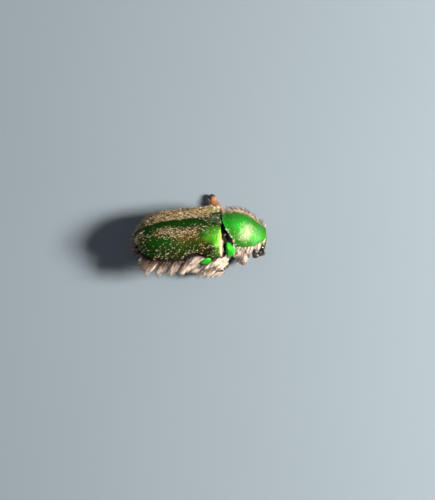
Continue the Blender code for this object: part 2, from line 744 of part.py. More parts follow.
build()
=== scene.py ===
"""A hairy green flower chafer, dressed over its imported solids: shell plates, legs, hair and a stage.

The body is modelled upright in its own frame in millimetres, +X to the head, +Y to its left and +Z up, and
then leaned over to where the solids are. The legs are modelled straight in the resting pose.
"""

import math
import random

import bmesh
import bpy
from bpy.props import FloatProperty, FloatVectorProperty, IntProperty, PointerProperty
from mathutils import Matrix, Vector, noise


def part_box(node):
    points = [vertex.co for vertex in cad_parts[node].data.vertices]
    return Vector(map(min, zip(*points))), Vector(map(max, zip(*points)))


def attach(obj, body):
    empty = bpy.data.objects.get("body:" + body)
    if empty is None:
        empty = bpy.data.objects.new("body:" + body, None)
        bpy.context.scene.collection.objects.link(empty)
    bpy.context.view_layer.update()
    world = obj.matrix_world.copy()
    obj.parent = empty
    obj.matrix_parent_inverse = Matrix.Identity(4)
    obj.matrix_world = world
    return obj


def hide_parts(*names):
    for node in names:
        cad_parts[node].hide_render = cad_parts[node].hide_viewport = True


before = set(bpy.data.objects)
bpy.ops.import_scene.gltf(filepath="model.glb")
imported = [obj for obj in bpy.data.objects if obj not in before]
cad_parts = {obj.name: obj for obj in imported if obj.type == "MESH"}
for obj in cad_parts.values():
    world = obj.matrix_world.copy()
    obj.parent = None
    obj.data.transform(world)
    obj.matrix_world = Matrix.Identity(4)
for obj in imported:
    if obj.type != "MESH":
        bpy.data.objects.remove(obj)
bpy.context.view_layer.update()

bl_info = {
    "name": "Green flower chafer",
    "version": (1, 0, 0),
    "blender": (4, 5, 0),
    "location": "3D View > Sidebar > Chafer",
    "description": "Dresses a packed beetle with its shell plates, legs, hair and stage",
    "category": "Object",
}

MM = 0.001
GAP = 0.2  # between the wing cases and the trunk
BODY_LEAN = math.radians(37.0)
BODY_HEIGHT = 4.8  # of the body's own origin over the floor
SHIELD_FRONT = 5.1
CASE_FRONT = -0.2
CASE_LENGTH = 10.4
SCUTELLUM_LENGTH = 2.45
BELLY_START = -3.5  # x where the chest ends and the belly starts
RING_COUNT = 5  # belly rings
RING_STEP = 0.14  # how far each belly ring stands over the next
TUFTS = (-4.2, -5.55, -6.9, -8.4, -9.3)  # x of the tufts at the belly's sides
PLATE = Vector((-2.2, 2.95, -1.8))  # middle of the bare green plate under a wing case's waist
TIP_GLINT = -10.4  # x of the painted glint near the tip of a wing case
HEAD_LENGTH = 2.33
EYE_RADIUS = 0.5
SIDES = ((1, "left"), (-1, "right"))
SHARP_ANGLE = math.radians(62)
HAIR_FLOOR = 0.01 * MM  # how high the lowest hair lies
LOCK_PATCH = 0.003  # how much of the unwrap's side the patch of one lock takes
SENSOR_WIDTH = 36.0
PICTURE_PIXELS = 500
LEANED = Matrix.Rotation(-BODY_LEAN, 3, "X")


# Sizes and colours


def number(name, about, default, low, high):
    """A plain number that a user can change."""
    return FloatProperty(name=name, description=about, default=default, min=low, max=high)


def measure(name, about, default, low, high):
    """A length, given here in millimetres."""
    return FloatProperty(
        name=name, description=about, default=default * MM, min=low * MM, max=high * MM, unit="LENGTH"
    )


def degrees(name, about, default):
    """An angle, given here in degrees."""
    return FloatProperty(name=name, description=about, default=math.radians(default), subtype="ANGLE")


def tint(name, about, default):
    """A colour."""
    return FloatVectorProperty(
        name=name, description=about, default=default, size=3, min=0.0, max=1.0, subtype="COLOR"
    )


class ChaferSizes(bpy.types.PropertyGroup):
    """Sizes of the fine forms that the solids leave out."""

    pit: measure("Pit spacing", "Distance between the fine pits of the shell", 0.1, 0.02, 1)
    bead: measure("Margin bead", "Height of the raised bead round the plates", 0.05, 0, 0.3)
    case_hair: measure("Case bristle", "Length of the bristles of the wing cases", 0.22, 0.1, 2)
    flank_hair: measure("Flank lock", "Length of the longest locks of the flank", 2.0, 0.2, 4)
    leg_hair: measure("Leg bristle", "Length of the fringes of the legs", 0.85, 0.1, 3)
    seed: IntProperty(name="Seed", description="Start of everything random in the coat", default=7, min=0)


class ChaferColours(bpy.types.PropertyGroup):
    """Colours of the finishes."""

    shell: tint("Shell", "Green of the shield", (0.010, 0.32, 0.014))
    # Painted shade: this darker green is laid into the shield's pits and over its left side.
    shell_shaded: tint("Shell in the pits", "Darker green of the shield", (0.02, 0.12, 0.025))
    case: tint("Wing case", "Dark green of the wing cases", (0.008, 0.07, 0.002))
    case_copper: tint("Copper band", "Copper brown of the middle of the wing cases", (0.11, 0.058, 0.004))
    # Partly the shoulders' own yellow green and partly a painted highlight on them.
    case_shoulder_and_highlight: tint("Case shoulder", "Yellow green of the shoulders", (0.10, 0.42, 0.02))
    skin: tint("Skin", "Brown of the skin under the hair", (0.055, 0.03, 0.02))
    limb: tint("Leg", "Orange brown of the legs", (0.36, 0.15, 0.06))
    joint: tint("Joints", "Dark brown of knees and feet", (0.035, 0.015, 0.01))
    golden: tint("Golden hair", "Hair of the wing cases", (0.58, 0.35, 0.13))
    golden_pale: tint("Pale golden hair", "Palest hair of the wing cases", (0.92, 0.71, 0.46))
    pale: tint("Pale hair", "Tips of the palest hair", (0.90, 0.70, 0.57))
    dull: tint("Dull hair", "Tips of the brown hair", (0.28, 0.17, 0.12))
    root: tint("Hair root", "Roots of the long hair", (0.10, 0.055, 0.03))


class ChaferStage(bpy.types.PropertyGroup):
    """Camera, lights and floor."""

    elevation: degrees("Elevation", "Camera angle above the horizon", 84)
    roll: degrees("Roll", "How far the picture is turned", -3.5)
    lens: number("Lens", "Focal length in millimetres", 85.0, 20.0, 200.0)
    picture: measure("Picture height", "What the picture's long side covers", 60, 10, 1000)
    key: number("Key light", "Power of the light from the right in watts", 2.3, 0.0, 50.0)
    fill: number("Fill light", "Power of the light from above in watts", 0.12, 0.0, 50.0)
    floor: tint("Floor", "Colour of the floor", (0.2, 0.235, 0.26))


def colours():
    """The colours that the user can change."""
    return bpy.context.scene.chafer_colours


def sizes():
    """The sizes that the user can change."""
    return bpy.context.scene.chafer_sizes


def shade(colour, share):
    """A colour made darker or lighter."""
    return tuple(min(1.0, c * share) for c in colour)


# Node trees


class Wire:
    """An output in a node tree, so that sums of outputs read as ordinary expressions."""

    def __init__(self, tree, socket):
        self.tree = tree
        self.socket = socket

    def __getitem__(self, output):
        return Wire(self.tree, self.socket.node.outputs[output])

    def sum(self, operation, *values):
        """A Math node on the values given, which needn't take in this output itself."""
        return self.tree.node("ShaderNodeMath", {"operation": operation}, dict(enumerate(values)))

    def __add__(self, other):
        return self.sum("ADD", self, other)

    def __radd__(self, other):
        return self.sum("ADD", other, self)

    def __sub__(self, other):
        return self.sum("SUBTRACT", self, other)

    def __rsub__(self, other):
        return self.sum("SUBTRACT", other, self)

    def __mul__(self, other):
        return self.sum("MULTIPLY", self, other)

    def __rmul__(self, other):
        return self.sum("MULTIPLY", other, self)

    def eased(self, low, high):
        """0 below low, 1 above high, smooth between."""
        sockets = {0: self, 1: low, 2: high, 3: 0.0, 4: 1.0}
        return self.tree.node("ShaderNodeMapRange", {"interpolation_type": "SMOOTHSTEP"}, sockets)

    def near(self, middle, width):
        """1 where the value is at middle, falling to 0 at width from it."""
        away = self.sum("ABSOLUTE", self - middle)
        return 1 - away.eased(0.0, width)


class Tree:
    """A node tree that is built a node at a time."""

    def __init__(self, tree):
        self.tree = tree

    def node(self, kind, settings=None, sockets=None, out=0):
        """Adds a node with its settings, then the values or wires of its sockets, and gives one output."""
        made = self.tree.nodes.new(kind)
        for key, value in (settings or {}).items():
            setattr(made, key, value)
        for key, value in (sockets or {}).items():
            if isinstance(value, Wire):
                self.tree.links.new(value.socket, made.inputs[key])
            else:
                made.inputs[key].default_value = value
        return Wire(self, made.outputs[out]) if made.outputs else None

    def mix(self, share, one, other):
        """A colour between two, each a colour or a wire."""
        one, other = (c if isinstance(c, Wire) else (*c, 1.0) for c in (one, other))
        return self.node("ShaderNodeMix", {"data_type": "RGBA"}, {0: share, 6: one, 7: other}, out=2)

    def attribute(self, name, out="Vector"):
        """What the mesh says under this name at each point."""
        return self.node("ShaderNodeAttribute", {"attribute_name": name}, out=out)

    def parts(self, vector):
        """The x, y and z of a vector."""
        x = self.node("ShaderNodeSeparateXYZ", None, {0: vector})
        return x, x[1], x[2]

    def noise(self, vector, scale, detail=3.0, roughness=0.5):
        """A value that wanders smoothly, mostly between 0.3 and 0.7."""
        sockets = {"Vector": vector, "Scale": scale, "Detail": detail, "Roughness": roughness}
        return self.node("ShaderNodeTexNoise", None, sockets)

    def cells(self, vector, scale):
        """How far a place is from the middle of its cell, where cells fill the space."""
        return self.node("ShaderNodeTexVoronoi", None, {"Vector": vector, "Scale": scale})

    def bump(self, height, distance, strength=1.0, under=None):
        """A normal bent by a height, over another normal where one is given."""
        sockets = {"Height": height, "Distance": distance, "Strength": strength}
        if under:
            sockets["Normal"] = under
        return self.node("ShaderNodeBump", None, sockets)


class Finish(Tree):
    """A material with one shader, whose sockets are set by name."""

    def __init__(self, name):
        self.material = bpy.data.materials.new(name)
        self.material.use_nodes = True
        super().__init__(self.material.node_tree)
        self.shader = self.tree.nodes["Principled BSDF"]

    def surface(self, **sockets):
        """Sets the shader's sockets, and gives the material."""
        for key, value in sockets.items():
            socket = self.shader.inputs[key.replace("_", " ").title().replace("Ior", "IOR")]
            if isinstance(value, Wire):
                self.tree.links.new(value.socket, socket)
            else:
                socket.default_value = value
        return self.material


# Finishes


def pits_of(finish, place, spacing_mm, depth):
    """Round pits over a plate, as a share that is 1 inside a pit and as a normal."""
    cells = finish.cells(place, 1.0 / spacing_mm)
    pit = 1 - cells.eased(0.12, 0.42)
    return pit, finish.bump(1 - pit, depth * MM)


def shell_finish(name, bright, painted_shade, pit_mm, roughness=0.66, metallic=0.7, glare_strength=0.0):
    """Bright green chitin: fine pits, cloudy colour, painted shade in pits and on the left, and if asked a
    painted glare.
    """
    finish = Finish(name)
    place = finish.attribute("upright")
    x, y, z = finish.parts(place)
    clouds = finish.noise(place, 0.55, 4.0, 0.6)
    grain = finish.noise(place, 9.0, 3.0, 0.6)
    pit, normal = pits_of(finish, place, pit_mm, 0.032)
    normal = finish.bump(grain, 0.022 * MM, 0.9, under=normal)
    warm = tuple(c * 0.62 + d for c, d in zip(bright, (0.03, 0.02, 0.0)))
    body = finish.mix(clouds.eased(0.35, 0.65), bright, warm)
    # Painted shade: the pits are darkened.
    body = finish.mix(pit * 0.75, body, painted_shade)
    body = finish.mix(grain.eased(0.5, 0.8) * 0.3, body, (0.05, 0.45, 0.02))
    # Painted shade: the left side, turned away from the light, is darkened.
    body = finish.mix(y.eased(-0.6, 1.2) * 0.85, body, painted_shade)
    if glare_strength:
        # Painted glare: white flecks where the light's highlight falls on the right shoulder.
        flecks = 0.1 + 0.9 * (1 - finish.cells(place, 5.5).eased(0.3, 0.5))
        glare_patch = x.sum("MAXIMUM", x.near(2.8, 1.0) * z.near(1.25, 0.95), x.near(3.9, 1.0) * 0.5)
        glare_patch = glare_patch * (1 - y.eased(-0.9, 0.0))
        body = finish.mix(glare_patch * flecks * glare_strength, body, (0.48, 0.58, 0.42))
    return finish.surface(
        base_color=body, metallic=metallic, roughness=grain * 0.14 + (roughness - 0.05), normal=normal,
        coat_weight=0.05, coat_roughness=0.4,
    )


def case_finish():
    """Wing case: dark green behind, along the seam, copper middle, yellow green shoulder with painted
    highlight.
    """
    tints = colours()
    finish = Finish("wing_case_green")
    place = finish.attribute("upright")
    x, y, _ = finish.parts(place)
    out = x.sum("ABSOLUTE", y)
    wander = finish.noise(place, 0.7, 3.0, 0.6) - 0.5
    along = x + wander * 1.6
    aside = out + wander * 0.9
    grain = finish.noise(place, 7.0, 4.0, 0.65)
    pit, normal = pits_of(finish, place, sizes().pit / MM * 1.35, 0.02)
    normal = finish.bump(grain, 0.015 * MM, 0.7, under=normal)
    inner = along.near(-4.2, 2.4) * aside.near(2.0, 1.4)
    outer = along.near(-2.2, 1.4) * aside.near(3.1, 0.9)
    # Yellow green at the front of the outer side: the shoulder's own colour, lightened further as a painted
    # highlight.
    bright = along.eased(-2.5, -0.9) * aside.eased(0.7, 1.8)
    hem = aside.eased(2.5, 3.3)
    mottle = finish.noise(place, 4.5, 2.0, 0.7).eased(0.44, 0.56)
    mottle = mottle * along.near(-5.2, 3.6) * aside.near(1.45, 0.9)
    # Painted glint: a near-white patch near the tip of each case.
    spot = x.near(TIP_GLINT, 0.4) * out.near(0.8, 0.4)
    body = finish.mix(grain.eased(0.4, 0.75) * 0.6, tints.case, shade(tints.case, 1.8))
    body = finish.mix(x.sum("MAXIMUM", inner, outer) * 0.85, body, tints.case_copper)
    body = finish.mix(bright, body, tints.case_shoulder_and_highlight)
    # Painted shade: darker olive on the steep outer sides, most of all just behind the shoulder.
    body = finish.mix(hem * (0.5 + along.near(-1.8, 1.0) * 0.45), body, (0.025, 0.028, 0.003))
    body = finish.mix(mottle * 0.8, body, (0.02, 0.014, 0.003))
    # Painted shade: the pits are darkened.
    body = finish.mix(pit * 0.7, body, (0.006, 0.02, 0.004))
    body = finish.mix(spot.eased(0.1, 0.5), body, (0.85, 0.83, 0.80))
    return finish.surface(
        base_color=body, metallic=0.9, roughness=grain * 0.2 + 0.4, normal=normal, coat_weight=0.04,
        coat_roughness=0.35,
    )


def skin_finish():
    """The skin under the hair: dark brown, clouded with olive, painted nearly black as shadow under cases and
    shield.
    """
    finish = Finish("trunk_skin")
    place = finish.attribute("upright")
    clouds = finish.noise(place, 1.3, 4.0, 0.6)
    grain = finish.noise(place, 11.0, 3.0, 0.6)
    pit, normal = pits_of(finish, place, 0.2, 0.02)
    body = finish.mix(clouds.eased(0.4, 0.7), colours().skin, (0.05, 0.06, 0.02))
    # Painted shade: the pits are darkened.
    body = finish.mix(pit * 0.5, body, (0.02, 0.012, 0.008))
    x, _, z = finish.parts(place)
    # Painted shadow: nearly black just under the case edge and at the front, under the shield.
    below = x.near(-3.0, 1.15) * 0.62 - 0.42 - z
    dark = x.sum("MAXIMUM", 1 - below.eased(0.75, 1.0), x.eased(-0.9, -0.2))
    body = finish.mix(dark, body, (0.006, 0.004, 0.004))
    return finish.surface(
        base_color=body, metallic=0.1, roughness=grain * 0.2 + 0.4 + dark * 0.4, specular_ior_level=0.25,
        normal=finish.bump(grain, 0.01 * MM, 0.7, normal),
    )


def limb_finish(name, near_dark, far_dark):
    """Leg chitin: orange brown with fine pits and blots, dark up to near_dark and from far_dark along it."""
    tints = colours()
    finish = Finish(name)
    place = finish.node("ShaderNodeTexCoord", out="Object")
    share = finish.attribute("limb", out="Fac")
    wander = finish.noise(place, 900.0, 4.0, 0.6)
    grain = finish.noise(place, 6000.0, 3.0, 0.6)
    pit = 1 - finish.cells(place, 5200.0).eased(0.15, 0.4)
    dark = share + (wander - 0.5) * 0.12
    ends = 1 - dark.eased(near_dark - 0.14, near_dark) * (1 - dark.eased(far_dark, far_dark + 0.1))
    body = finish.mix(wander.eased(0.35, 0.7), tints.limb, shade(tints.limb, 0.45))
    # Painted shade: the pits are darkened.
    body = finish.mix(pit * 0.5, body, shade(tints.limb, 0.35))
    blots = finish.noise(place, 2600.0, 2.0, 0.5)
    body = finish.mix(blots.eased(0.55, 0.68) * dark.eased(0.3, 0.8) * 0.75, body, tints.joint)
    body = finish.mix(ends, body, tints.joint)
    normal = finish.bump(grain, 0.012 * MM, 0.7, finish.bump(1 - pit, 0.012 * MM))
    return finish.surface(
        base_color=body, roughness=grain * 0.2 + 0.24, normal=normal, coat_weight=0.25, coat_roughness=0.2
    )


def eye_finish():
    """A glossy dark eye of very many small facets."""
    finish = Finish("eye_facets")
    place = finish.node("ShaderNodeTexCoord", out="Object")
    facets = finish.cells(place, 26000.0)
    clouds = finish.noise(place, 1500.0, 3.0)
    body = finish.mix(clouds.eased(0.4, 0.7), (0.012, 0.008, 0.006), (0.05, 0.028, 0.015))
    return finish.surface(
        base_color=body, roughness=clouds * 0.1 + 0.08, normal=finish.bump(1 - facets, 0.006 * MM),
        coat_weight=0.5, coat_roughness=0.05,
    )


def hair_finish(name, root, dull, pale, contrast=0.35, vary=0.35, dark_share=0.0):
    """Hair that pales root to tip, dull or pale by its place, each lock in its own tone, with painted glint
    and shade.
    """
    finish = Finish(name)
    along = finish.attribute("along", out="Fac")
    tone = finish.attribute("tone", out="Fac")
    share = finish.attribute("pale", out="Fac") + (tone - 0.5) * vary
    fade = along.eased(dark_share, dark_share + 0.5)
    tip = finish.mix(share.eased(0.0, 0.9), dull, pale)
    # Locks with paleness below 0 darken to near black; this paints the shadow under the case edges.
    tip = finish.mix(1 - share.eased(-1.0, -0.2), tip, shade(dull, 0.12))
    if not dark_share:
        root = finish.mix(share.eased(0.5, 1.1), root, shade(pale, 0.55))
    body = finish.mix(fade, root, tip)
    # Painted glint: some locks turn near white towards the tip; painted shade: others are darkened.
    painted_glint = tone.eased(0.68, 0.84) * fade * share.eased(-0.6, 0.0) * contrast
    body = finish.mix(painted_glint, body, (1.0, 0.93, 0.78))
    shaded = (1 - tone.eased(0.1, 0.4)) * contrast * (1 - share.eased(0.3, 1.0) * 0.7)
    body = finish.mix(shaded, body, shade(dull, 0.3))
    return finish.surface(base_color=body, roughness=tone * 0.15 + 0.3, specular_ior_level=0.6)


def floor_finish():
    """A plain pale floor, very faintly clouded."""
    finish = Finish("stage_floor")
    place = finish.node("ShaderNodeTexCoord", out="Object")
    cloud = finish.noise(place, 40.0, 4.0)
    base = bpy.context.scene.chafer_stage.floor
    body = finish.mix(cloud, base, shade(base, 0.94))
    return finish.surface(base_color=body, roughness=0.9, specular_ior_level=0.1)


# Outlines of the body


def curve_through(*points):
    """A smooth function of x through the points, with no overshoot between them."""
    xs, ys = zip(*points)
    steps = [(ys[i + 1] - ys[i]) / (xs[i + 1] - xs[i]) for i in range(len(xs) - 1)]
    slopes = [steps[0]]
    for before, after in zip(steps, steps[1:]):
        slopes.append(0.0 if before * after <= 0 else 2 * before * after / (before + after))
    slopes.append(steps[-1])

    def at(x):
        x = min(max(x, xs[0]), xs[-1])
        i = max(k for k in range(len(xs) - 1) if xs[k] <= x)
        span = xs[i + 1] - xs[i]
        t = (x - xs[i]) / span
        rise = 3 * t * t - 2 * t * t * t
        return (
            ys[i] * (1 - rise)
            + ys[i + 1] * rise
            + span * (slopes[i] * (t**3 - 2 * t**2 + t) + slopes[i + 1] * (t**3 - t**2))
        )

    return at


def curves_through(xs, *rows):
    """Several smooth functions whose points lie at the same x."""
    return [curve_through(*zip(xs, row)) for row in rows]


SHIELD_HALF, SHIELD_TOP = curves_through(
    (-0.3, 1.0, 2.0, 3.0, 4.0, 4.8, SHIELD_FRONT),
    (2.0, 2.38, 2.52, 2.36, 1.9, 1.28, 0.95),
    (2.5, 2.55, 2.35, 1.85, 0.9, 0.0, -0.3),
)
SHIELD_EDGE = curve_through((-0.3, 0.3), (1.0, 0.15), (2.0, -0.05), (3.0, -0.25), (4.0, -0.5), (5.1, -0.65))
SHIELD_UNDER = curve_through((0.6, -2.1), (2.0, -2.3), (3.0, -2.0), (3.4, -1.35), (4.0, -1.25), (5.1, -0.95))
CASE_HALF = curve_through(
    (-10.6, 0.3), (-10.4, 0.95), (-10.1, 1.6), (-9.6, 2.4), (-8.8, 2.98), (-7.4, 3.36),
    (-5.5, 3.45), (-4.0, 3.36), (-2.8, 3.34), (-1.4, 3.62), (-0.6, 3.5), (-0.2, 3.05),
)
CASE_TOP = curve_through(
    (-10.6, 0.3), (-10.4, 0.5), (-10.0, 0.9), (-9.4, 1.3), (-8.6, 1.7), (-7.0, 2.1),
    (-5.0, 2.28), (-2.0, 2.38), (-0.2, 2.35),
)
CASE_EDGE = curve_through(
    (-10.6, -0.1), (-9.5, -0.4), (-7.4, -0.45), (-5.0, -0.35), (-3.0, 0.2), (-1.5, -0.5), (-0.2, -0.45),
)
CHEST_HALF = curve_through((-3.6, 3.1), (-2.0, 3.16), (-0.6, 3.05), (0.4, 2.6), (1.0, 2.3))
CHEST_UNDER = curve_through((-3.6, -3.1), (-2.0, -3.2), (-0.5, -3.0), (1.0, -2.3))
BELLY_HALF = curve_through((-10.2, 1.1), (-9.6, 1.95), (-8.6, 2.7), (-7.0, 3.05), (-5.0, 3.15), (-3.6, 3.1))
BELLY_UNDER = curve_through((-10.2, -1.6), (-9.2, -2.25), (-7.5, -2.8), (-5.0, -3.05), (-3.6, -3.1))

# Each leg: root and stump end on the upright body, then knee, ankle and foot points in the resting pose.
LEGS = {
    "fore_left": ((2.3, 0.6, -1.7), (2.4, 1.35, -2.5), (3.3, 1.65, 0.6), (4.55, 0.15, 0.42),
                  ((4.95, -0.35, 0.3), (4.9, -1.0, 0.24), (4.3, -1.5, 0.23))),
    "fore_right": ((2.3, -0.6, -1.7), (2.4, -1.35, -2.5), (2.25, -3.45, 1.3), (3.0, -2.0, 0.42),
                   ((3.3, -1.5, 0.3), (3.5, -0.9, 0.24), (3.5, -0.2, 0.23))),
    "mid_left": ((0.1, 1.2, -2.2), (-0.1, 2.4, -2.95), (-1.05, 5.0, 0.55), (0.65, 1.95, 0.42),
                 ((0.95, 1.25, 0.3), (0.95, 0.5, 0.24), (0.6, -0.4, 0.23))),
    "mid_right": ((0.1, -1.2, -2.2), (-0.1, -2.2, -3.0), (-3.5, -4.0, 1.5), (-0.15, -4.1, 0.45),
                  ((0.4, -3.7, 0.3), (0.45, -3.0, 0.24), (0.15, -2.1, 0.23))),
    "hind_left": ((-2.9, 1.2, -2.4), (-3.0, 2.2, -3.3), (-6.4, 2.1, 0.5), (-9.3, 0.6, 0.42),
                  ((-9.8, 0.15, 0.3), (-10.05, -0.35, 0.24), (-10.1, -1.0, 0.23))),
    "hind_right": ((-2.9, -1.2, -2.4), (-3.0, -2.1, -3.15), (-6.5, -3.0, 0.9), (-8.9, -2.4, 0.42),
                   ((-9.25, -1.8, 0.3), (-9.0, -1.1, 0.24), (-8.2, -0.7, 0.23))),
}
UP = Vector((0.0, 0.0, 1.0))
HEAD_TOP = Vector((4.6, 0.0, -1.5))
HEAD_TIP = Vector((4.3, 0.0, -3.75))


def head_point(along, out, side):
    """A point of the head: along from crown to lip, out towards the face, side to its left."""
    axis = (HEAD_TIP - HEAD_TOP).normalized()
    face = Vector((-axis.z, 0.0, axis.x))
    return HEAD_TOP + axis * along + face * out + Vector((0.0, side, 0.0))


def eye_centre(side):
    """The middle of an eye, side 1 for the left and -1 for the right."""
    return head_point(0.52, -0.02, side * 1.12)


def middle_of(node):
    """The middle of a solid's box."""
    low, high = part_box(node)
    return (low + high) / 2


ORIGIN = middle_of("eye_left") - LEANED @ eye_centre(1) * MM  # where the body's own origin lies
REST = Matrix.Translation(ORIGIN - Vector((0, 0, BODY_HEIGHT * MM))) @ Matrix.Scale(MM, 4)
BODY = Matrix.Translation(ORIGIN) @ LEANED.to_4x4() @ Matrix.Scale(MM, 4)


def leaned(point):
    """A point of the upright body in the resting pose, in millimetres."""
    return LEANED @ Vector(point) + Vector((0, 0, BODY_HEIGHT))


def unleaned(point):
    """A point of the resting pose on the upright body."""
    return LEANED.transposed() @ (Vector(point) - Vector((0, 0, BODY_HEIGHT)))


def joints_of(leg):
    """Hip, knee and ankle of a leg in the resting pose."""
    _, end, knee, ankle, _ = LEGS[leg]
    return leaned(end), Vector(knee), Vector(ankle)


def bell(value, middle, width):
    """1 at the middle, falling off like a bell on both sides."""
    return math.exp(-(((value - middle) / width) ** 2))


def ease(value, low, high):
    """0 below low, 1 above high, smooth between."""
    t = min(max((value - low) / (high - low), 0.0), 1.0)
    return t * t * (3 - 2 * t)


def between(before, near, far, after, t):
    """A point on the way from near to far, on a smooth curve that also knows its next neighbours."""
    return 0.5 * (2 * near + (far - before) * t + (2 * before - 5 * near + 4 * far - after) * t**2
                  + (3 * near - before - 3 * far + after) * t**3)


# Meshes


def placed(name, data):
    """A new object in the scene."""
    made = bpy.data.objects.new(name, data)
    bpy.context.scene.collection.objects.link(made)
    return made


def new_form():
    """An empty mesh in the making, with an unwrap and each point's place along its limb."""
    bm = bmesh.new()
    bm.loops.layers.uv.new("unwrap")
    bm.verts.layers.float.new("limb")
    return bm


def add_rings(bm, rings, shares=None):
    """Adds a closed skin through rings of points, shut with a fan at each end."""
    unwrap = bm.loops.layers.uv["unwrap"]
    limb = bm.verts.layers.float["limb"]
    count, last = len(rings[0]), len(rings) - 1
    loops = []
    for r, ring in enumerate(rings):
        loop = [bm.verts.new(point) for point in ring]
        for vert in loop:
            vert[limb] = shares[r] if shares else r / last
        loops.append(loop)
    faces = []

    def add_face(verts, places):
        face = bm.faces.new(verts)
        for corner, (a, b) in zip(face.loops, places):
            corner[unwrap].uv = (a / count, b / last)
        faces.append(face)

    for r in range(last):
        near, far = loops[r], loops[r + 1]
        for i in range(count):
            j = (i + 1) % count
            add_face((near[i], near[j], far[j], far[i]), ((i, r), (i + 1, r), (i + 1, r + 1), (i, r + 1)))
    for r in (0, last):
        loop = loops[r]
        middle = bm.verts.new(sum((p.co for p in loop), Vector()) / count)
        middle[limb] = loop[0][limb]
        for i in range(count):
            add_face((loop[i], loop[(i + 1) % count], middle), ((i, r), (i + 1, r), (i + 0.5, r)))
    bmesh.ops.recalc_face_normals(bm, faces=faces)
    return bm


def route_through(points):
    """A smooth route through the points, as a function of the share of its length."""
    points = [Vector(p) for p in points]
    padded = [points[0], *points, points[-1]]
    dense = [between(*padded[i:i + 4], k / 8) for i in range(len(points) - 1) for k in range(8)]
    dense.append(points[-1])
    lengths = [0.0]
    for near, far in zip(dense, dense[1:]):
        lengths.append(lengths[-1] + (far - near).length)

    def at(share):
        want = min(max(share, 0.0), 1.0) * lengths[-1]
        i = max(k for k in range(len(dense) - 1) if lengths[k] <= want + 1e-9)
        span = max(lengths[i + 1] - lengths[i], 1e-9)
        return dense[i].lerp(dense[i + 1], (want - lengths[i]) / span)

    return at


def add_limb(bm, points, sizes_at, side=UP, stations=24, sides=16, blunt=(0.04, 0.04)):
    """Adds a tapering limb along a route.

    sizes_at(share) gives its half width and its half height, which stands to the side given, and blunt says
    how much of its length is rounded off at its start and end.
    """
    at = route_through(points)
    shares = [k / (stations - 1) for k in range(stations)]
    rings = []
    for share in shares:
        ahead = (at(share + 0.01) - at(share - 0.01)).normalized()
        flat = (side - ahead * side.dot(ahead)).normalized()
        across = ahead.cross(flat)
        wide, thick = sizes_at(share)
        shrink = 1.0
        for reach, left in ((blunt[0], share), (blunt[1], 1 - share)):
            if left < reach:
                shrink = math.sqrt(max(1 - (1 - left / reach) ** 2, 0.02))
        ring = []
        for k in range(sides):
            turn = 2 * math.pi * (k + 0.5) / sides
            ring.append(at(share) + across * wide * shrink * math.cos(turn)
                        + flat * thick * shrink * math.sin(turn))
        rings.append(ring)
    return add_rings(bm, rings, shares)


def add_cone(bm, points, thickness, limb_share):
    """Adds a spur or claw that comes to a point, coloured as the limb is at limb_share."""
    start = len(bm.verts)
    add_limb(
        bm, points, lambda s: (thickness * (1 - s) ** 0.7 + 0.012,) * 2, stations=8, sides=8, blunt=(0, 0)
    )
    bm.verts.ensure_lookup_table()
    layer = bm.verts.layers.float["limb"]
    for vert in bm.verts[start:]:
        vert[layer] = limb_share


def finished(name, bm, matrix, finish, replaced):
    """Makes the piece of a form: put in place, with its upright place kept for the finish."""
    mesh = bpy.data.meshes.new(name)
    bm.to_mesh(mesh)
    bm.free()
    upright = mesh.attributes.new("upright", "FLOAT_VECTOR", "POINT")
    upright.data.foreach_set("vector", [c for vert in mesh.vertices for c in vert.co])
    mesh.transform(matrix)
    for vert in mesh.vertices:
        vert.co.z = max(vert.co.z, 0.0)
    mesh.materials.append(finish)
    mesh.shade_smooth()
    mesh.set_sharp_from_angle(angle=SHARP_ANGLE)
    piece = placed(name, mesh)
    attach(piece, "root")
    if replaced:
        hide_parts(*replaced)


def dome(half, top, edge, angle, power=0.9):
    """A point of a rounded roof: angle runs from the ridge, 0, to the edge, a quarter turn."""
    return half * math.sin(angle), edge + (top - edge) * max(math.cos(angle), 0.0) ** power


def hung(half, under, edge, angle):
    """A point of a rounded keel: angle runs from the edge, 0, to the middle line, a quarter turn."""
    return half * max(math.cos(angle), 0.0) ** 0.7, edge + (under - edge) * math.sin(angle) ** 0.95


def shield_rear(y):
    """x of the shield's rear edge: a shallow lobe behind, cut back forward at the rounded corners."""
    return 0.05 + 1.2 * min(abs(y) / 2.4, 1.0) ** 3


def scutellum_half(x):
    """Half the scutellum's width at x."""
    share = min(max((CASE_FRONT - x) / SCUTELLUM_LENGTH, 0.0), 1.0)
    return 1 - share**1.25


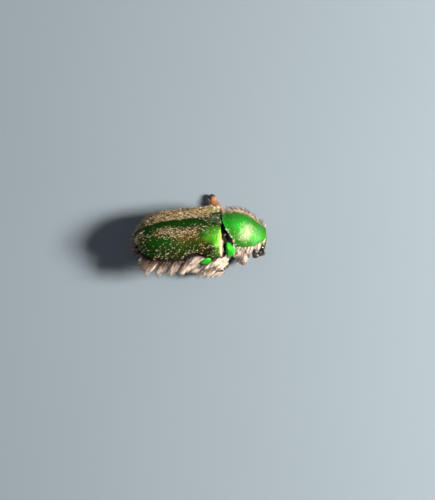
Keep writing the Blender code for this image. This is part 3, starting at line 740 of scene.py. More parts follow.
def shield_form():
    """The shield and the underside of the first body ring, with a fine raised bead along its edges."""
    bead = sizes().bead / MM
    stations, arc = 64, 44
    rings = []
    for s in range(stations):
        share = s / (stations - 1)
        ring = []
        for k in range(2 * arc):
            turn = math.pi * (k / arc - 0.5)
            above = k <= arc
            side = math.sin(turn) if above else math.sin(math.pi - turn)
            rear = shield_rear(2.5 * side)
            if not above:
                rear = max(rear, 0.85)
            x = rear + (SHIELD_FRONT - rear) * share
            if above:
                raised = bead * (bell(abs(turn), math.pi / 2, 0.06) + 0.7 * bell(share, 0.0, 0.012))
                raised -= 0.05 * bell(abs(turn), 0.62, 0.2) * bell(share, 0.45, 0.16)
                y, z = dome(SHIELD_HALF(x) + raised, SHIELD_TOP(x) + raised, SHIELD_EDGE(x), abs(turn), 0.95)
                y = math.copysign(y, side)
            else:
                down = turn - math.pi / 2
                half, edge = SHIELD_HALF(x) - 0.12, SHIELD_EDGE(x) - 0.18
                y, z = hung(half, SHIELD_UNDER(x), edge, min(down, math.pi - down))
                y = y if down < math.pi / 2 else -y
            ring.append(Vector((x, y, z)))
        rings.append(ring)
    front = rings[-1]
    middle = sum(front, Vector()) / len(front)
    for shrink, out in ((0.93, 0.06), (0.72, 0.12), (0.4, 0.15)):
        rings.append([middle + (point - middle) * shrink + Vector((out, 0, 0)) for point in front])
    return add_rings(new_form(), rings)


def stump_points(leg):
    """The middle line of the leg's first joint, on the upright body."""
    hip, knee, _ = joints_of(leg)
    start = leaned(LEGS[leg][0])
    way = (knee - hip).normalized()
    return [unleaned(p) for p in (start, start.lerp(hip, 0.6), hip, hip + way * 0.2)]


def add_stump(bm, leg):
    """Adds a leg's first joint, which is part of the trunk or the shield."""
    wide = curve_through((0.0, 0.62), (0.5, 0.56), (0.85, 0.46), (1.0, 0.4))
    side = LEANED.transposed() @ UP
    add_limb(bm, stump_points(leg), lambda s: (wide(s), wide(s) * 0.95), side, stations=14)


def case_relief(x, share):
    """How far a wing case stands out of its plain dome: beads, faint ribs, shoulder and end knobs."""
    bead = sizes().bead / MM
    ends = ease(x, -10.4, -9.0) * (1 - ease(x, -1.6, -0.5))
    ribs = 0.045 * bell(share, 0.3, 0.035) + 0.035 * bell(share, 0.56, 0.035)
    dips = -0.05 * bell(share, 0.17, 0.05) - 0.04 * bell(share, 0.44, 0.05)
    shoulder = 0.16 * bell(x, -1.15, 0.6) * bell(share, 0.66, 0.12)
    end_knob = 0.12 * bell(x, -9.0, 0.5) * bell(share, 0.5, 0.14)
    hollow = 0.06 * bell(x, -4.2, 1.0) * bell(share, 0.62, 0.12)
    seam = bead * bell(share, 0.0, 0.035) * (1 - ease(x, -2.9, -2.5))
    return seam + bead * bell(share, 0.985, 0.03) + (ribs + dips) * ends + (shoulder + end_knob) - hollow


def case_form(side):
    """A wing case: a curved wall from the seam round to its edge, waisted behind the shoulder."""
    outer, inner, stations = 52, 12, 96
    rings = []
    for s in range(stations):
        x = CASE_FRONT - CASE_LENGTH * (1 - math.cos(math.pi * s / (stations - 1))) / 2
        half, top, edge = CASE_HALF(x), CASE_TOP(x), CASE_EDGE(x)
        seam = max(scutellum_half(x) + 0.11, 0.03) if x > CASE_FRONT - SCUTELLUM_LENGTH - 0.1 else 0.03
        ring = []
        first = math.asin(min(seam / half, 0.9))
        for k in range(outer + 1):
            share = k / outer
            angle = first + (math.pi / 2 - first) * share
            raised = case_relief(x, share)
            y, z = dome(half, top, edge, angle)
            ring.append((x, side * (y + raised * math.sin(angle)), z + raised * math.cos(angle)))
        wall = min(0.5, 0.45 * half, 0.8 * (top - edge))
        low_half, low_top = max(half - wall, seam + 0.08), top - wall
        last = math.asin(min(seam / low_half, 0.95))
        for k in range(inner + 1):
            angle = math.pi / 2 + (last - math.pi / 2) * k / inner
            y, z = dome(low_half, low_top, edge, angle)
            ring.append((x, side * y, z))
        rings.append(ring)
    return add_rings(new_form(), rings)


def scutellum_form():
    """The small three-cornered plate between the wing cases, a little hollow in its middle."""
    rings = []
    stations, steps = 26, 14
    for s in range(stations):
        share = 0.98 * s / (stations - 1)
        x = CASE_FRONT + 0.12 * (1 - share) - SCUTELLUM_LENGTH * share
        half, top = scutellum_half(x), CASE_TOP(x) + 0.07
        ring = []
        for k in range(steps + 1):
            y = half * (2 * k / steps - 1)
            hollow = 0.05 * (1 - (y / half) ** 2) * (1 - share)
            bead = 0.03 * bell(abs(y) / half, 0.93, 0.07)
            ring.append((x, y, top - 0.05 * y * y - hollow + bead))
        ring += [(x, half * 0.9, top - 0.55), (x, -half * 0.9, top - 0.55)]
        rings.append(ring)
    return add_rings(new_form(), rings)


def trunk_ring(x, half, under, roof):
    """A ring of the trunk: a roof that fits under the wing cases, then the bare flank and belly."""
    roof_half, roof_top, roof_edge = roof
    roof_steps, keel_steps = 24, 60
    ring = []
    for k in range(roof_steps + 1):
        turn = math.pi * (k / roof_steps - 0.5)
        y, z = dome(roof_half, roof_top, roof_edge, abs(turn))
        ring.append(Vector((x, math.copysign(y, turn), z)))
    for k in range(keel_steps + 1):
        turn = math.pi * k / keel_steps
        y, z = hung(half, under, roof_edge - 0.35, min(turn, math.pi - turn))
        ring.append(Vector((x, y if turn <= math.pi / 2 else -y, z)))
    return ring


def roof_under_cases(x):
    """Half width, top and edge of the trunk's roof at x."""
    half = CASE_HALF(min(x, -0.9)) - 0.5 - GAP * 1.2
    return half, CASE_TOP(x) - 0.6 - GAP, CASE_EDGE(x)


def trunk_form():
    """One skin from the tail plate through the stepped belly rings and the chest to the neck."""
    bm = new_form()
    rings = []
    front, length = -3.55, 6.4
    tail_half, tail_high, tail_middle = 1.55, 0.85, -1.0
    last = trunk_ring(front - length, tail_half, -1.9, (1.35, 0.45, CASE_EDGE(-9.9)))
    for share in (1.0, 0.97, 0.9, 0.78, 0.6, 0.4, 0.2, 0.0):
        shrink = math.sqrt(max(1 - share * share, 0.004))
        x = front - length - 0.1 - 0.75 * share
        ring = []
        for point in last:
            turn = math.atan2((point.z - tail_middle) / tail_high, point.y / tail_half)
            z = tail_middle + tail_high * shrink * math.sin(turn) - 0.25 * share
            ring.append(Vector((x, tail_half * shrink * math.cos(turn), z)))
        rings.append(ring)
    rings.append(last)
    for n in reversed(range(RING_COUNT)):
        for share in (0.985, 0.95, 0.9, 0.8, 0.6, 0.4, 0.2, 0.05):
            x = front - length * (n + share) / RING_COUNT
            raised = RING_STEP * share if share < 0.92 else RING_STEP * (1 - share) * 8
            rings.append(trunk_ring(x, BELLY_HALF(x) + raised, BELLY_UNDER(x) - raised, roof_under_cases(x)))
    for x in (-3.4, -3.0, -2.6, -2.2, -1.8, -1.4, -1.0, -0.7, -0.4):
        rings.append(trunk_ring(x, CHEST_HALF(x), CHEST_UNDER(x), roof_under_cases(x)))
    for k, (share, neck_half) in enumerate(((0.0, 2.35), (0.5, 2.2), (1.0, 2.1))):
        ring = trunk_ring(0.0, CHEST_HALF(share) - 0.1 * k, CHEST_UNDER(share), (neck_half, 1.75, 0.0))
        bent = []
        for _, y, z in ring:
            end = shield_rear(y) - GAP - 0.05 if z > -0.3 else 0.55
            bent.append(Vector((-0.2 + (end + 0.2) * (k + 0.6) / 2.6, y, z)))
        rings.append(bent)
    add_rings(bm, rings)
    for leg in ("mid_left", "mid_right", "hind_left", "hind_right"):
        add_stump(bm, leg)
    return bm


def add_pillow(bm, outline, flank, bulge, side):
    """Adds a swollen plate on a side of the body.

    Its outline in x and z is smoothed, and it stands out from the flank, whose y is flank(z).
    """
    corners = [Vector(p) for p in outline]
    count = len(corners)
    middle = Vector([sum(c) for c in zip(*outline)]) / count
    ring = []
    for i in range(count):
        four = [corners[(i + j - 1) % count] for j in range(4)]
        ring += [between(*four, k / 8) for k in range(8)]

    def ring_at(share, height):
        points = [middle + (q - middle) * share for q in ring]
        return [Vector((p.x, side * (flank(p.y) + height), p.y)) for p in points]

    rings = [ring_at(0.3, -0.6), ring_at(1.0, -0.6)]
    for s in range(16):
        share = 1 - s / 16
        rings.append(ring_at(share, bulge * (1 - share**4) ** 0.7 - 0.035 * bell(share, 0.9, 0.04)))
    add_rings(bm, rings if side < 0 else [list(reversed(r)) for r in rings])


def side_plates_form(side):
    """The fin that shows between shield and shoulder, and the bare plate under the case's waist."""
    bm = new_form()
    fin = (
        (0.34, 0.4), (0.72, 0.36), (1.12, -0.05), (1.3, -0.62), (1.16, -1.15), (0.76, -1.6), (0.4, -1.62),
        (0.28, -0.6),
    )
    waist = (
        (-1.6, -1.3), (-1.64, -1.95), (-2.0, -2.55), (-2.45, -2.74), (-2.85, -2.4), (-2.85, -1.75),
        (-2.45, -1.2), (-1.98, -1.05),
    )
    front = 2.74 if side < 0 else 2.3
    add_pillow(bm, fin, lambda z: front + 0.12 * (z + 0.4), 0.34, side)
    add_pillow(bm, waist, lambda z: 3.1 * (1 - min(1.0, abs(z / 3.25)) ** 2.9) ** 0.35 + 0.12, 0.2, side)
    return bm


def head_form():
    """Bent straight down under the shield: a broad crown, then a long lip plate, rimmed and notched."""
    half, out, back = curves_through(
        (0.0, 0.25, 0.75, 1.15, 1.6, 2.0, 2.25, HEAD_LENGTH),
        (1.0, 1.3, 1.32, 1.05, 0.88, 0.86, 0.84, 0.78),
        (0.62, 0.72, 0.7, 0.58, 0.42, 0.34, 0.36, 0.34),
        (0.45, 0.6, 0.6, 0.5, 0.35, 0.22, 0.16, 0.12),
    )
    stations, sides = 44, 48
    rings = []
    for s in range(stations):
        along = HEAD_LENGTH * s / (stations - 1)
        lip = ease(along, 1.3, 1.7)
        ring = []
        for k in range(sides):
            turn = 2 * math.pi * k / sides
            y = half(along) * math.cos(turn)
            up = math.sin(turn)
            reach = (out(along) if up > 0 else back(along)) * up
            if up > 0:
                reach += lip * 0.13 * bell(abs(y) / half(along), 0.93, 0.12) - lip * 0.1 * bell(y, 0.0, 0.45)
                reach += 0.1 * lip * ease(along, 2.1, 2.3)
            notch = 0.35 * max(0.0, 1 - abs(y) / 0.45) * max(0.0, (along - 1.9) / 0.43)
            ring.append(head_point(along - notch, reach, y))
        rings.append(ring)
    return add_rings(new_form(), rings)


def feelers_form():
    """Jaw feelers with a thicker last joint, behind the lip."""
    bm = new_form()
    beads = curve_through(
        (0.0, 0.14), (0.28, 0.17), (0.34, 0.11), (0.6, 0.18), (0.66, 0.11), (0.85, 0.2), (1.0, 0.12)
    )
    for side in (-1, 1):
        places = ((1.1, -0.2, 0.3), (1.6, -0.62, 0.42), (2.1, -0.62, 0.5))
        path = [head_point(along, out, side * aside) for along, out, aside in places]
        add_limb(bm, path, lambda s: (beads(s), beads(s)), Vector((0, side, 0)), stations=30, sides=12)
    return bm


def eye_form(side):
    """An eye: a ball that lies half inside the head."""
    rows, columns = 24, 36
    rings = []
    for r in range(1, rows):
        down = math.pi * r / rows
        ring = []
        for k in range(columns):
            turn = 2 * math.pi * k / columns
            out = Vector((math.cos(down), math.sin(down) * math.cos(turn), math.sin(down) * math.sin(turn)))
            ring.append(eye_centre(side) + EYE_RADIUS * out)
        rings.append(ring)
    return add_rings(new_form(), rings)


def antenna_form(side):
    """Stalk, small joints and a club of three leaves, folded back beside the cheek."""
    bm = new_form()
    root = head_point(1.0, 0.3, side * 1.1)
    elbow = head_point(0.86, 0.34, side * 1.84)
    wrist = head_point(1.0, -0.26, side * 1.95)
    stalk = curve_through((0.0, 0.13), (0.2, 0.12), (0.75, 0.22), (1.0, 0.16))
    leaf_size = curve_through((0.0, 0.1), (0.15, 0.19), (0.6, 0.27), (0.9, 0.22), (1.0, 0.14))

    def beads(share):
        return 0.13 + 0.055 * abs(math.sin(math.pi * (share * 5 + 0.1)))

    add_limb(bm, [root, root.lerp(elbow, 0.5), elbow], lambda s: (stalk(s), stalk(s)), stations=20, sides=14)
    joints = [elbow, elbow.lerp(wrist, 0.5), wrist]
    add_limb(bm, joints, lambda s: (beads(s), beads(s)), stations=40, sides=12)
    for leaf in (-1, 0, 1):
        tip = head_point(1.02 + 0.25 * leaf, -1.08 + 0.06 * leaf, side * 1.9)
        start = wrist + Vector((0, 0, -0.11 * leaf))
        middle = start.lerp(tip, 0.5) + Vector((0, 0, -0.05 * leaf))
        path = [start, middle, tip]
        add_limb(bm, path, lambda s: (leaf_size(s), 0.1), stations=22, sides=14, blunt=(0.1, 0.1))
    return bm


def thigh_form(leg):
    """A flat, swollen thigh that reaches a little past the knee."""
    hip, knee, _ = joints_of(leg)
    way = (knee - hip).normalized()
    wide = {"fore": 0.55, "mid": 0.7, "hind": 0.72}[leg.split("_")[0]]
    swell = curve_through(
        (0.0, 0.34), (0.12, 0.46), (0.4, wide * 1.06), (0.72, wide * 0.86), (0.88, 0.44), (0.95, 0.5),
        (1.0, 0.4),
    )
    flat = curve_through(
        (0.0, 0.32), (0.12, 0.36), (0.4, 0.4), (0.75, 0.36), (0.88, 0.34), (0.95, 0.4), (1.0, 0.32)
    )
    path = [hip + way * 0.05, hip.lerp(knee, 0.5), knee + way * 0.3]
    return add_limb(
        new_form(), path, lambda s: (swell(s), flat(s)), stations=40, sides=24, blunt=(0.03, 0.1)
    )


def shin_form(leg):
    """A shin that widens to its end, with outer teeth and two end spurs."""
    _, knee, ankle = joints_of(leg)
    way = (ankle - knee).normalized()
    across = way.cross(UP).normalized() * (-1 if leg.endswith("right") else 1)
    wide, thick = curves_through(
        (0.0, 0.1, 0.3, 0.6, 0.92, 1.0),
        (0.34, 0.42, 0.33, 0.34, 0.43, 0.4),
        (0.3, 0.33, 0.27, 0.28, 0.33, 0.3),
    )
    path = [knee - way * 0.2, knee.lerp(ankle, 0.5), ankle]
    bm = add_limb(
        new_form(), path, lambda s: (wide(s), thick(s)), stations=40, sides=20, blunt=(0.06, 0.03)
    )
    for k, share in enumerate((0.5, 0.72, 0.93) if leg.startswith("fore") else (0.5, 0.58)):
        root = knee.lerp(ankle, share)
        tip = root + across * (0.7 + 0.04 * k) + way * 0.22
        add_cone(bm, [root, root.lerp(tip, 0.6) + across * 0.03, tip], 0.2, 0.97)
    for turn in (-1, 1):
        root = ankle - way * 0.2 + across * 0.2 * turn
        tip = ankle + way * 0.14 + across * 0.62 * turn
        add_cone(bm, [root, root.lerp(tip, 0.5) + way * 0.05, tip], 0.12, 0.97)
    return bm


def foot_form(leg):
    """Five joints that widen forward, and two hooked claws."""
    _, knee, ankle = joints_of(leg)
    way = (ankle - knee).normalized()
    route = [ankle + way * 0.02] + [Vector(p) for p in LEGS[leg][4]]
    at = route_through(route)
    joints = (0.0, 0.18, 0.34, 0.5, 0.66, 0.96)

    def beads(share):
        for near, far in zip(joints, joints[1:]):
            if share <= far:
                t = (share - near) / (far - near)
                return 0.13 + 0.13 * math.sin(math.pi * (0.12 + 0.76 * t)) * (0.55 + 0.45 * t)
        return 0.12

    bm = add_limb(new_form(), route, lambda s: (beads(s), beads(s) * 0.92), stations=72, sides=14)
    end = at(0.92)
    ahead = (at(1.0) - at(0.85)).normalized()
    across = ahead.cross(UP).normalized()
    for turn in (-1, 1):
        bend = end + ahead * 0.36 + across * 0.3 * turn + UP * 0.06
        tip = end + ahead * 0.72 + across * 0.26 * turn - UP * 0.1
        add_cone(bm, [end, bend, tip], 0.1, 0.5)
    return bm


# Hair


def hair_tree():
    """Stands locks on a skin, as thick, long, wide and in the direction that its attributes say."""
    group = bpy.data.node_groups.new("hair_coat", "GeometryNodeTree")
    face = group.interface
    for name, kind in (
        ("Skin", "Geometry"), ("Locks", "Collection"), ("Number per square metre", "Float"),
        ("Ruffle", "Float"), ("Seed", "Int"), ("Finish", "Material"),
    ):
        face.new_socket(name, in_out="INPUT", socket_type=f"NodeSocket{kind}")
    face.new_socket("Coat", in_out="OUTPUT", socket_type="NodeSocketGeometry")
    tree = Tree(group)
    given = tree.node("NodeGroupInput")

    def attribute(name, kind="FLOAT"):
        return tree.node("GeometryNodeInputNamedAttribute", {"data_type": kind}, {"Name": name})

    def chance(low, high, step, kind="FLOAT"):
        """A random value for each point, from low to high."""
        first, out = {"FLOAT_VECTOR": (0, 0), "FLOAT": (2, 1), "INT": (4, 2)}[kind]
        sockets = {first: low, first + 1: high, "Seed": given["Seed"] + step}
        return tree.node("FunctionNodeRandomValue", {"data_type": kind}, sockets, out=out)

    def vectors(operation, one, other):
        """Two vectors added, or one scaled by a number."""
        sockets = {0: one, 3 if operation == "SCALE" else 1: other}
        return tree.node("ShaderNodeVectorMath", {"operation": operation}, sockets)

    spread = tree.node(
        "GeometryNodeDistributePointsOnFaces", {"distribute_method": "RANDOM"},
        {
            "Mesh": given["Skin"], "Density": given["Number per square metre"] * attribute("thick"),
            "Seed": given["Seed"],
        },
    )
    stray = vectors("SCALE", chance((-1.0,) * 3, (1.0,) * 3, 1, "FLOAT_VECTOR"), given["Ruffle"])
    way = vectors("ADD", attribute("lie", "FLOAT_VECTOR"), stray)
    stand = tree.node("FunctionNodeAlignRotationToVector", {"axis": "Z"}, {"Vector": way})
    stand = tree.node(
        "FunctionNodeAlignRotationToVector", {"axis": "X", "pivot_axis": "Z"},
        {"Rotation": stand, "Vector": spread["Normal"]},
    )
    wide = attribute("wide") * chance(0.8, 1.2, 2)
    reach = attribute("long") * chance(0.7, 1.15, 3)
    locks = tree.node(
        "GeometryNodeCollectionInfo", None,
        {"Collection": given["Locks"], "Separate Children": True, "Reset Children": True},
    )
    stood = tree.node(
        "GeometryNodeInstanceOnPoints", None,
        {
            "Points": spread["Points"], "Instance": locks, "Pick Instance": True,
            "Instance Index": chance(0, 99, 4, "INT"), "Rotation": stand,
            "Scale": tree.node("ShaderNodeCombineXYZ", None, {0: wide, 1: wide, 2: reach}),
        },
    )
    toned = tree.node(
        "GeometryNodeStoreNamedAttribute", {"data_type": "FLOAT", "domain": "INSTANCE"},
        {"Geometry": stood, "Name": "tone", "Value": chance(0.0, 1.0, 5)},
    )
    real = tree.node("GeometryNodeRealizeInstances", None, {"Geometry": toned})
    patch = vectors("SCALE", attribute("patch", "FLOAT_VECTOR"), LOCK_PATCH)
    spot = vectors("ADD", attribute("unwrap", "FLOAT_VECTOR"), patch)
    mapped = tree.node(
        "GeometryNodeStoreNamedAttribute", {"data_type": "FLOAT2", "domain": "CORNER"},
        {"Geometry": real, "Name": "OFBake", "Value": spot},
    )
    done = tree.node("GeometryNodeSetMaterial", None, {"Geometry": mapped, "Material": given["Finish"]})
    tree.node("NodeGroupOutput", None, {"Coat": done})
    return group


def lock_mesh(name, rng, strands, spread, stray, thickness, bend, steps=4):
    """One lock, a unit long.

    Its strands leave the skin up to spread from its root and draw together, each strays a little its own
    way, and all bend to the same side.
    """
    bm = bmesh.new()
    along = bm.verts.layers.float.new("along")
    patch = bm.verts.layers.float_vector.new("patch")
    sides = 3
    for n in range(strands):
        angle, away = rng.uniform(0, 2 * math.pi), math.sqrt(rng.uniform(0, 1)) * spread
        root = Vector((math.cos(angle) * away, math.sin(angle) * away, 0.0))
        lean = Vector((rng.uniform(-1, 1), rng.uniform(-1, 1), 0)) * stray
        reach = rng.uniform(0.72, 1.0)
        wave = rng.uniform(-0.04, 0.04)
        rings = []
        for s in range(steps):
            t = s / steps
            bow = Vector((-bend * t * t, wave * math.sin(3 * t), reach * t - 0.12 * (1 - t)))
            middle = root * (1 - 0.6 * t) + lean * t * t + bow
            ring = []
            for k in range(sides):
                turn = 2 * math.pi * k / sides + angle
                out = Vector((math.cos(turn), math.sin(turn), 0))
                vert = bm.verts.new(middle + out * thickness * (1 - 0.75 * t))
                vert[along] = t
                vert[patch] = ((n + k / sides) / strands, t, 0.0)
                ring.append(vert)
            rings.append(ring)
        tip = bm.verts.new(root * 0.4 + lean + Vector((-bend, wave * 0.14, reach)))
        tip[along] = 1.0
        tip[patch] = ((n + 0.5) / strands, 1.0, 0.0)
        for near, far in zip(rings, rings[1:]):
            for k in range(sides):
                j = (k + 1) % sides
                bm.faces.new((near[k], near[j], far[j], far[k]))
        for k in range(sides):
            bm.faces.new((rings[-1][k], rings[-1][(k + 1) % sides], tip))
        bm.faces.new(list(reversed(rings[0])))
    mesh = bpy.data.meshes.new(name)
    bm.to_mesh(mesh)
    bm.free()
    mesh.transform(Matrix.Scale(MM, 4))
    return mesh


def lock_set(name, variants, seed, **shape):
    """A collection of locks that differ a little."""
    rng = random.Random(seed)
    group = bpy.data.collections.new(name)
    for k in range(variants):
        mesh = lock_mesh(f"{name}_{k}", rng, **shape)
        group.objects.link(bpy.data.objects.new(mesh.name, mesh))
    return group


def combed(name, rule, turn=LEANED, cell=(0.0, 0.0, 1.0)):
    """A copy of a piece's mesh that says at each point how hair grows there.

    rule gets a place and an outward way in the frame the piece was made in, and gives thickness, length,
    width, paleness and the way the hair lies. turn takes that way to the scene, and cell is the share of the
    unwrap that the piece gets.
    """
    mesh = bpy.data.objects[name].data.copy()
    places = [0.0] * (3 * len(mesh.vertices))
    mesh.attributes["upright"].data.foreach_get("vector", places)
    back = turn.transposed()
    rows = []
    for k, vert in enumerate(mesh.vertices):
        rows.append(rule(Vector(places[3 * k: 3 * k + 3]), back @ vert.normal))
    for column, what in enumerate(("thick", "long", "wide", "pale")):
        made = mesh.attributes.new(what, "FLOAT", "POINT")
        made.data.foreach_set("value", [row[column] for row in rows])
    lie = mesh.attributes.new("lie", "FLOAT_VECTOR", "POINT")
    lie.data.foreach_set("vector", [c for row in rows for c in turn @ Vector(row[4])])
    for item in mesh.uv_layers["unwrap"].uv:
        item.vector = (cell[0] + item.vector[0] * cell[2], cell[1] + item.vector[1] * cell[2])
    return mesh


def grow(name, skins, locks, finish, per_square_mm, ruffle, step=0):
    """Makes the coat that grows on combed skins, as one piece."""
    bm = bmesh.new()
    for skin in skins:
        bm.from_mesh(skin)
        bpy.data.meshes.remove(skin)
    mesh = bpy.data.meshes.new("skin")
    bm.to_mesh(mesh)
    bm.free()
    base = placed("skin", mesh)
    tree = bpy.data.node_groups.get("hair_coat") or hair_tree()
    modifier = base.modifiers.new("coat", "NODES")
    modifier.node_group = tree
    given = {item.name: item.identifier for item in tree.interface.items_tree if item.in_out == "INPUT"}
    for key, value in (
        ("Locks", locks), ("Number per square metre", per_square_mm * 1e6), ("Ruffle", ruffle),
        ("Seed", sizes().seed + step), ("Finish", finish),
    ):
        modifier[given[key]] = value
    graph = bpy.context.evaluated_depsgraph_get()
    coat = bpy.data.meshes.new_from_object(base.evaluated_get(graph), depsgraph=graph)
    base.modifiers.clear()
    bpy.data.objects.remove(base)
    if not coat.polygons:
        raise RuntimeError(f"no hair grew for {name}")
    coat.name = name
    for vert in coat.vertices:
        vert.co.z = max(vert.co.z, HAIR_FLOOR)
    coat.shade_smooth()
    piece = placed(name, coat)
    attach(piece, "root")


def cell_of(number, total):
    """The corner and size of one cell when the unit square is shared between skins."""
    across = math.ceil(math.sqrt(total))
    return (number % across) / across, (number // across) / across, 0.96 / across


def patch_noise(place, scale, seed=0.0):
    """A value that wanders over the body, about -1 to 1."""
    return noise.noise(place * scale + Vector((seed, 3.1 * seed, 0)))


def right_case_thickness(place, y):
    """How thick the bristles stand on the right wing case: a golden band, a hem, a patch at the tail and a
    painted glint.
    """
    x = place.x
    band = 0.72 * bell(y, 1.3 + 0.4 * ease(x, -7.5, -4.0), 0.68)
    band = band * ease(x, -8.8, -7.0) * (1 - 0.5 * ease(x, -3.2, -2.4)) * (1 - ease(x, -1.7, -1.0))
    tail = 0.3 * (1 - ease(x, -10.0, -9.4)) + 1.3 * bell(x, -9.85, 0.4) * bell(y, 0.6, 0.3)
    # Painted glint: many bristles near the tip, which case_hair makes pale.
    glint = 4.0 * bell(x, TIP_GLINT, 0.14) * bell(y, 0.8, 0.2)
    hem = 0.1 + 0.04 * ease(y, 2.7, 3.2)
    waist = 0.15 * (bell(x, -3.4, 1.5) * ease(CASE_EDGE(x) + 0.25 - place.z, 0.0, 0.2))
    gloss = 1 - 0.9 * bell(x, -7.9, 1.2) * bell(y, 2.3, 0.7)
    bare, full = (0.25, 0.75) if x > -9.0 else (0.05, 0.2)
    thick = max(band, tail, glint, hem, waist) * gloss * ease(y, bare, full)
    return thick * (1 - 0.8 * bell(x, -2.1, 1.4) * bell(y, 2.5, 0.9))


def case_hair(side):
    """How the bristles grow on a wing case: the left one is furred all over, and fuzzy on its outer side."""

    def rule(place, normal):
        x, y = place.x, abs(place.y)
        inner_wall = normal.z < 0.05 and y < CASE_HALF(x) * 0.8
        if normal.z < -0.1 or place.z < CASE_EDGE(x) - 0.02 or x > -0.12 or inner_wall:
            return 0.0, 0.4, 0.6, 0.5, normal
        if side > 0:
            thick, longer, fuzz = 0.6 * ease(y, 0.1, 0.4), 0.5, ease(y, 1.9, 3.0)
            pale = 0.9 * patch_noise(place, 1.6, 8.0) - 0.1
        else:
            thick, longer, fuzz, pale = right_case_thickness(place, y), 0.0, 0.0, 0.3
        thick *= 0.8 + 0.9 * patch_noise(place, 2.4, 2.0)
        front = ease(x, -0.5, -0.36) * ease(y, 2.4, 2.7)
        share = 0.7 + 0.3 * bell(y, 1.6, 0.7) + 0.3 * ease(y, 2.9, 3.3) + 0.5 * front + longer
        long = sizes().case_hair / MM * share + 0.32 * fuzz * (0.7 + 0.8 * patch_noise(place, 1.3, 12.0))
        # Painted glint: the bristles near the tip turn pale.
        spot = 1.6 * bell(x, TIP_GLINT, 0.2) * bell(y, 0.8, 0.25)
        pale = pale + 0.8 * front + spot + 0.3 * ease(y, 2.4, 3.0)
        way = Vector((-1.0, math.copysign(0.14, place.y), 0.0)) + normal * (0.4 + 0.3 * front + 0.7 * fuzz)
        return max(thick, 2.6 * front, 0.0), long, 0.8, pale, way

    return rule


def scutellum_hair(place, normal):
    """A few golden bristles over the scutellum."""
    thick = 0.2 * ease(normal.z, 0.5, 0.8) * (0.8 + 0.9 * patch_noise(place, 2.4))
    return thick, 0.22, 0.8, 0.9, Vector((-1.0, 0.1, 0.0)) + normal * 0.4


def shield_hair(place, normal):
    """A fringe along the left edge and the rear right corner of the shield, and long hair below its edges."""
    x, y, z = place
    side = 1 if y > 0 else -1
    edge = SHIELD_EDGE(x)
    if z < edge - 0.22:
        low = ease(edge - z, 0.2, 1.2)
        thick = 1.0 if x < 4.95 else 0.3
        way = Vector((-0.3, 0.9, -0.15)) if side > 0 else Vector((-0.32, -0.3, -0.8))
        pale = 1.05 + 0.6 * patch_noise(place, 0.9, 4.0)
        long = 1.25 * (0.75 + 0.5 * patch_noise(place, 1.2))
        return thick, long, 1.0, pale, way + normal * (0.2 + 0.25 * low)
    rear = 2.2 * bell(x, shield_rear(y) + 0.1, 0.16) * ease(-y, 1.2, 1.8)
    fringe = ease(y / max(SHIELD_HALF(x), 0.1), 0.62, 0.86)
    thick = max(1.2 * fringe, 0.7 * rear) * (0.8 + 0.4 * patch_noise(place, 1.5, 5.0))
    way = Vector((-0.7, 0.3 * side, 0.0)) + normal * (0.4 + 0.7 * fringe)
    return thick, 0.2 + 0.66 * fringe, 0.7, 0.8 - 0.75 * fringe, way


def shield_bristles(place, normal):
    """Fine bristles on top of the shield: golden on its left, and white on its right shoulder as a painted
    glare.
    """
    x, y, z = place
    if z < SHIELD_EDGE(x) + 0.05:
        return 0.0, 0.1, 0.5, 0.5, normal
    # Painted glare: dense, pale bristles where the light's highlight falls on the right shoulder.
    glare_patch = 3.2 * bell(x, 2.8, 0.8) * bell(z, 1.25, 0.65) * ease(-y, 0.3, 0.9)
    left = ease(y, 0.2, 1.6)
    thick = max(glare_patch, left, 0.04) * (0.7 + 1.0 * patch_noise(place, 2.5, 6.0))
    way = Vector((-0.9, 0.1, 0.0)) + normal * 0.35
    return max(thick, 0.0), 0.11 + 0.2 * left, 0.7, 0.3 + 2 * glare_patch, way


def tuft_way(place, side):
    """The way to the broad end of the nearest tuft of the belly's side, and how far off its middle is."""
    middle = min(TUFTS, key=lambda t: abs(t - place.x))
    root = Vector((middle, side * BELLY_HALF(middle) * 0.92, -1.85))
    end = root + Vector((-1.25, side * 1.2, -1.0)) + 1.06 * (place - root)
    return (end - place).normalized(), abs(place.x - middle)


def belly_hair(place, normal, side, longest, flank):
    """A long tuft at the side of each belly ring, and short curled hair round the tufts."""
    _, y, z = place
    way, away = tuft_way(place, side)
    row = (1 - ease(away, 0.46, 0.6)) * bell(z, -1.85, 0.5) * ease(abs(y), 1.4, 2.0)
    if row > 0.3:
        round_end = 1 - 0.3 * (away / 0.55) ** 2
        long = longest * (0.8 + 0.3 * row) * round_end * (1 + 0.2 * patch_noise(place, 2.5))
        return 2.4 * row, long, 1.0, 1.45 - 1.6 * ease(z, -1.8, -1.42), way + normal * 0.06
    curl = 0.6 * patch_noise(place, 2.2, 7.0)
    way = Vector((-0.6 + curl, side * 0.35, -0.5 - curl)) + normal * 0.45
    pale = 0.05 + 0.7 * patch_noise(place, 1.8, 3.0) ** 2
    return 1.0, 0.4 + 0.25 * (1 - flank), 0.7, pale, way


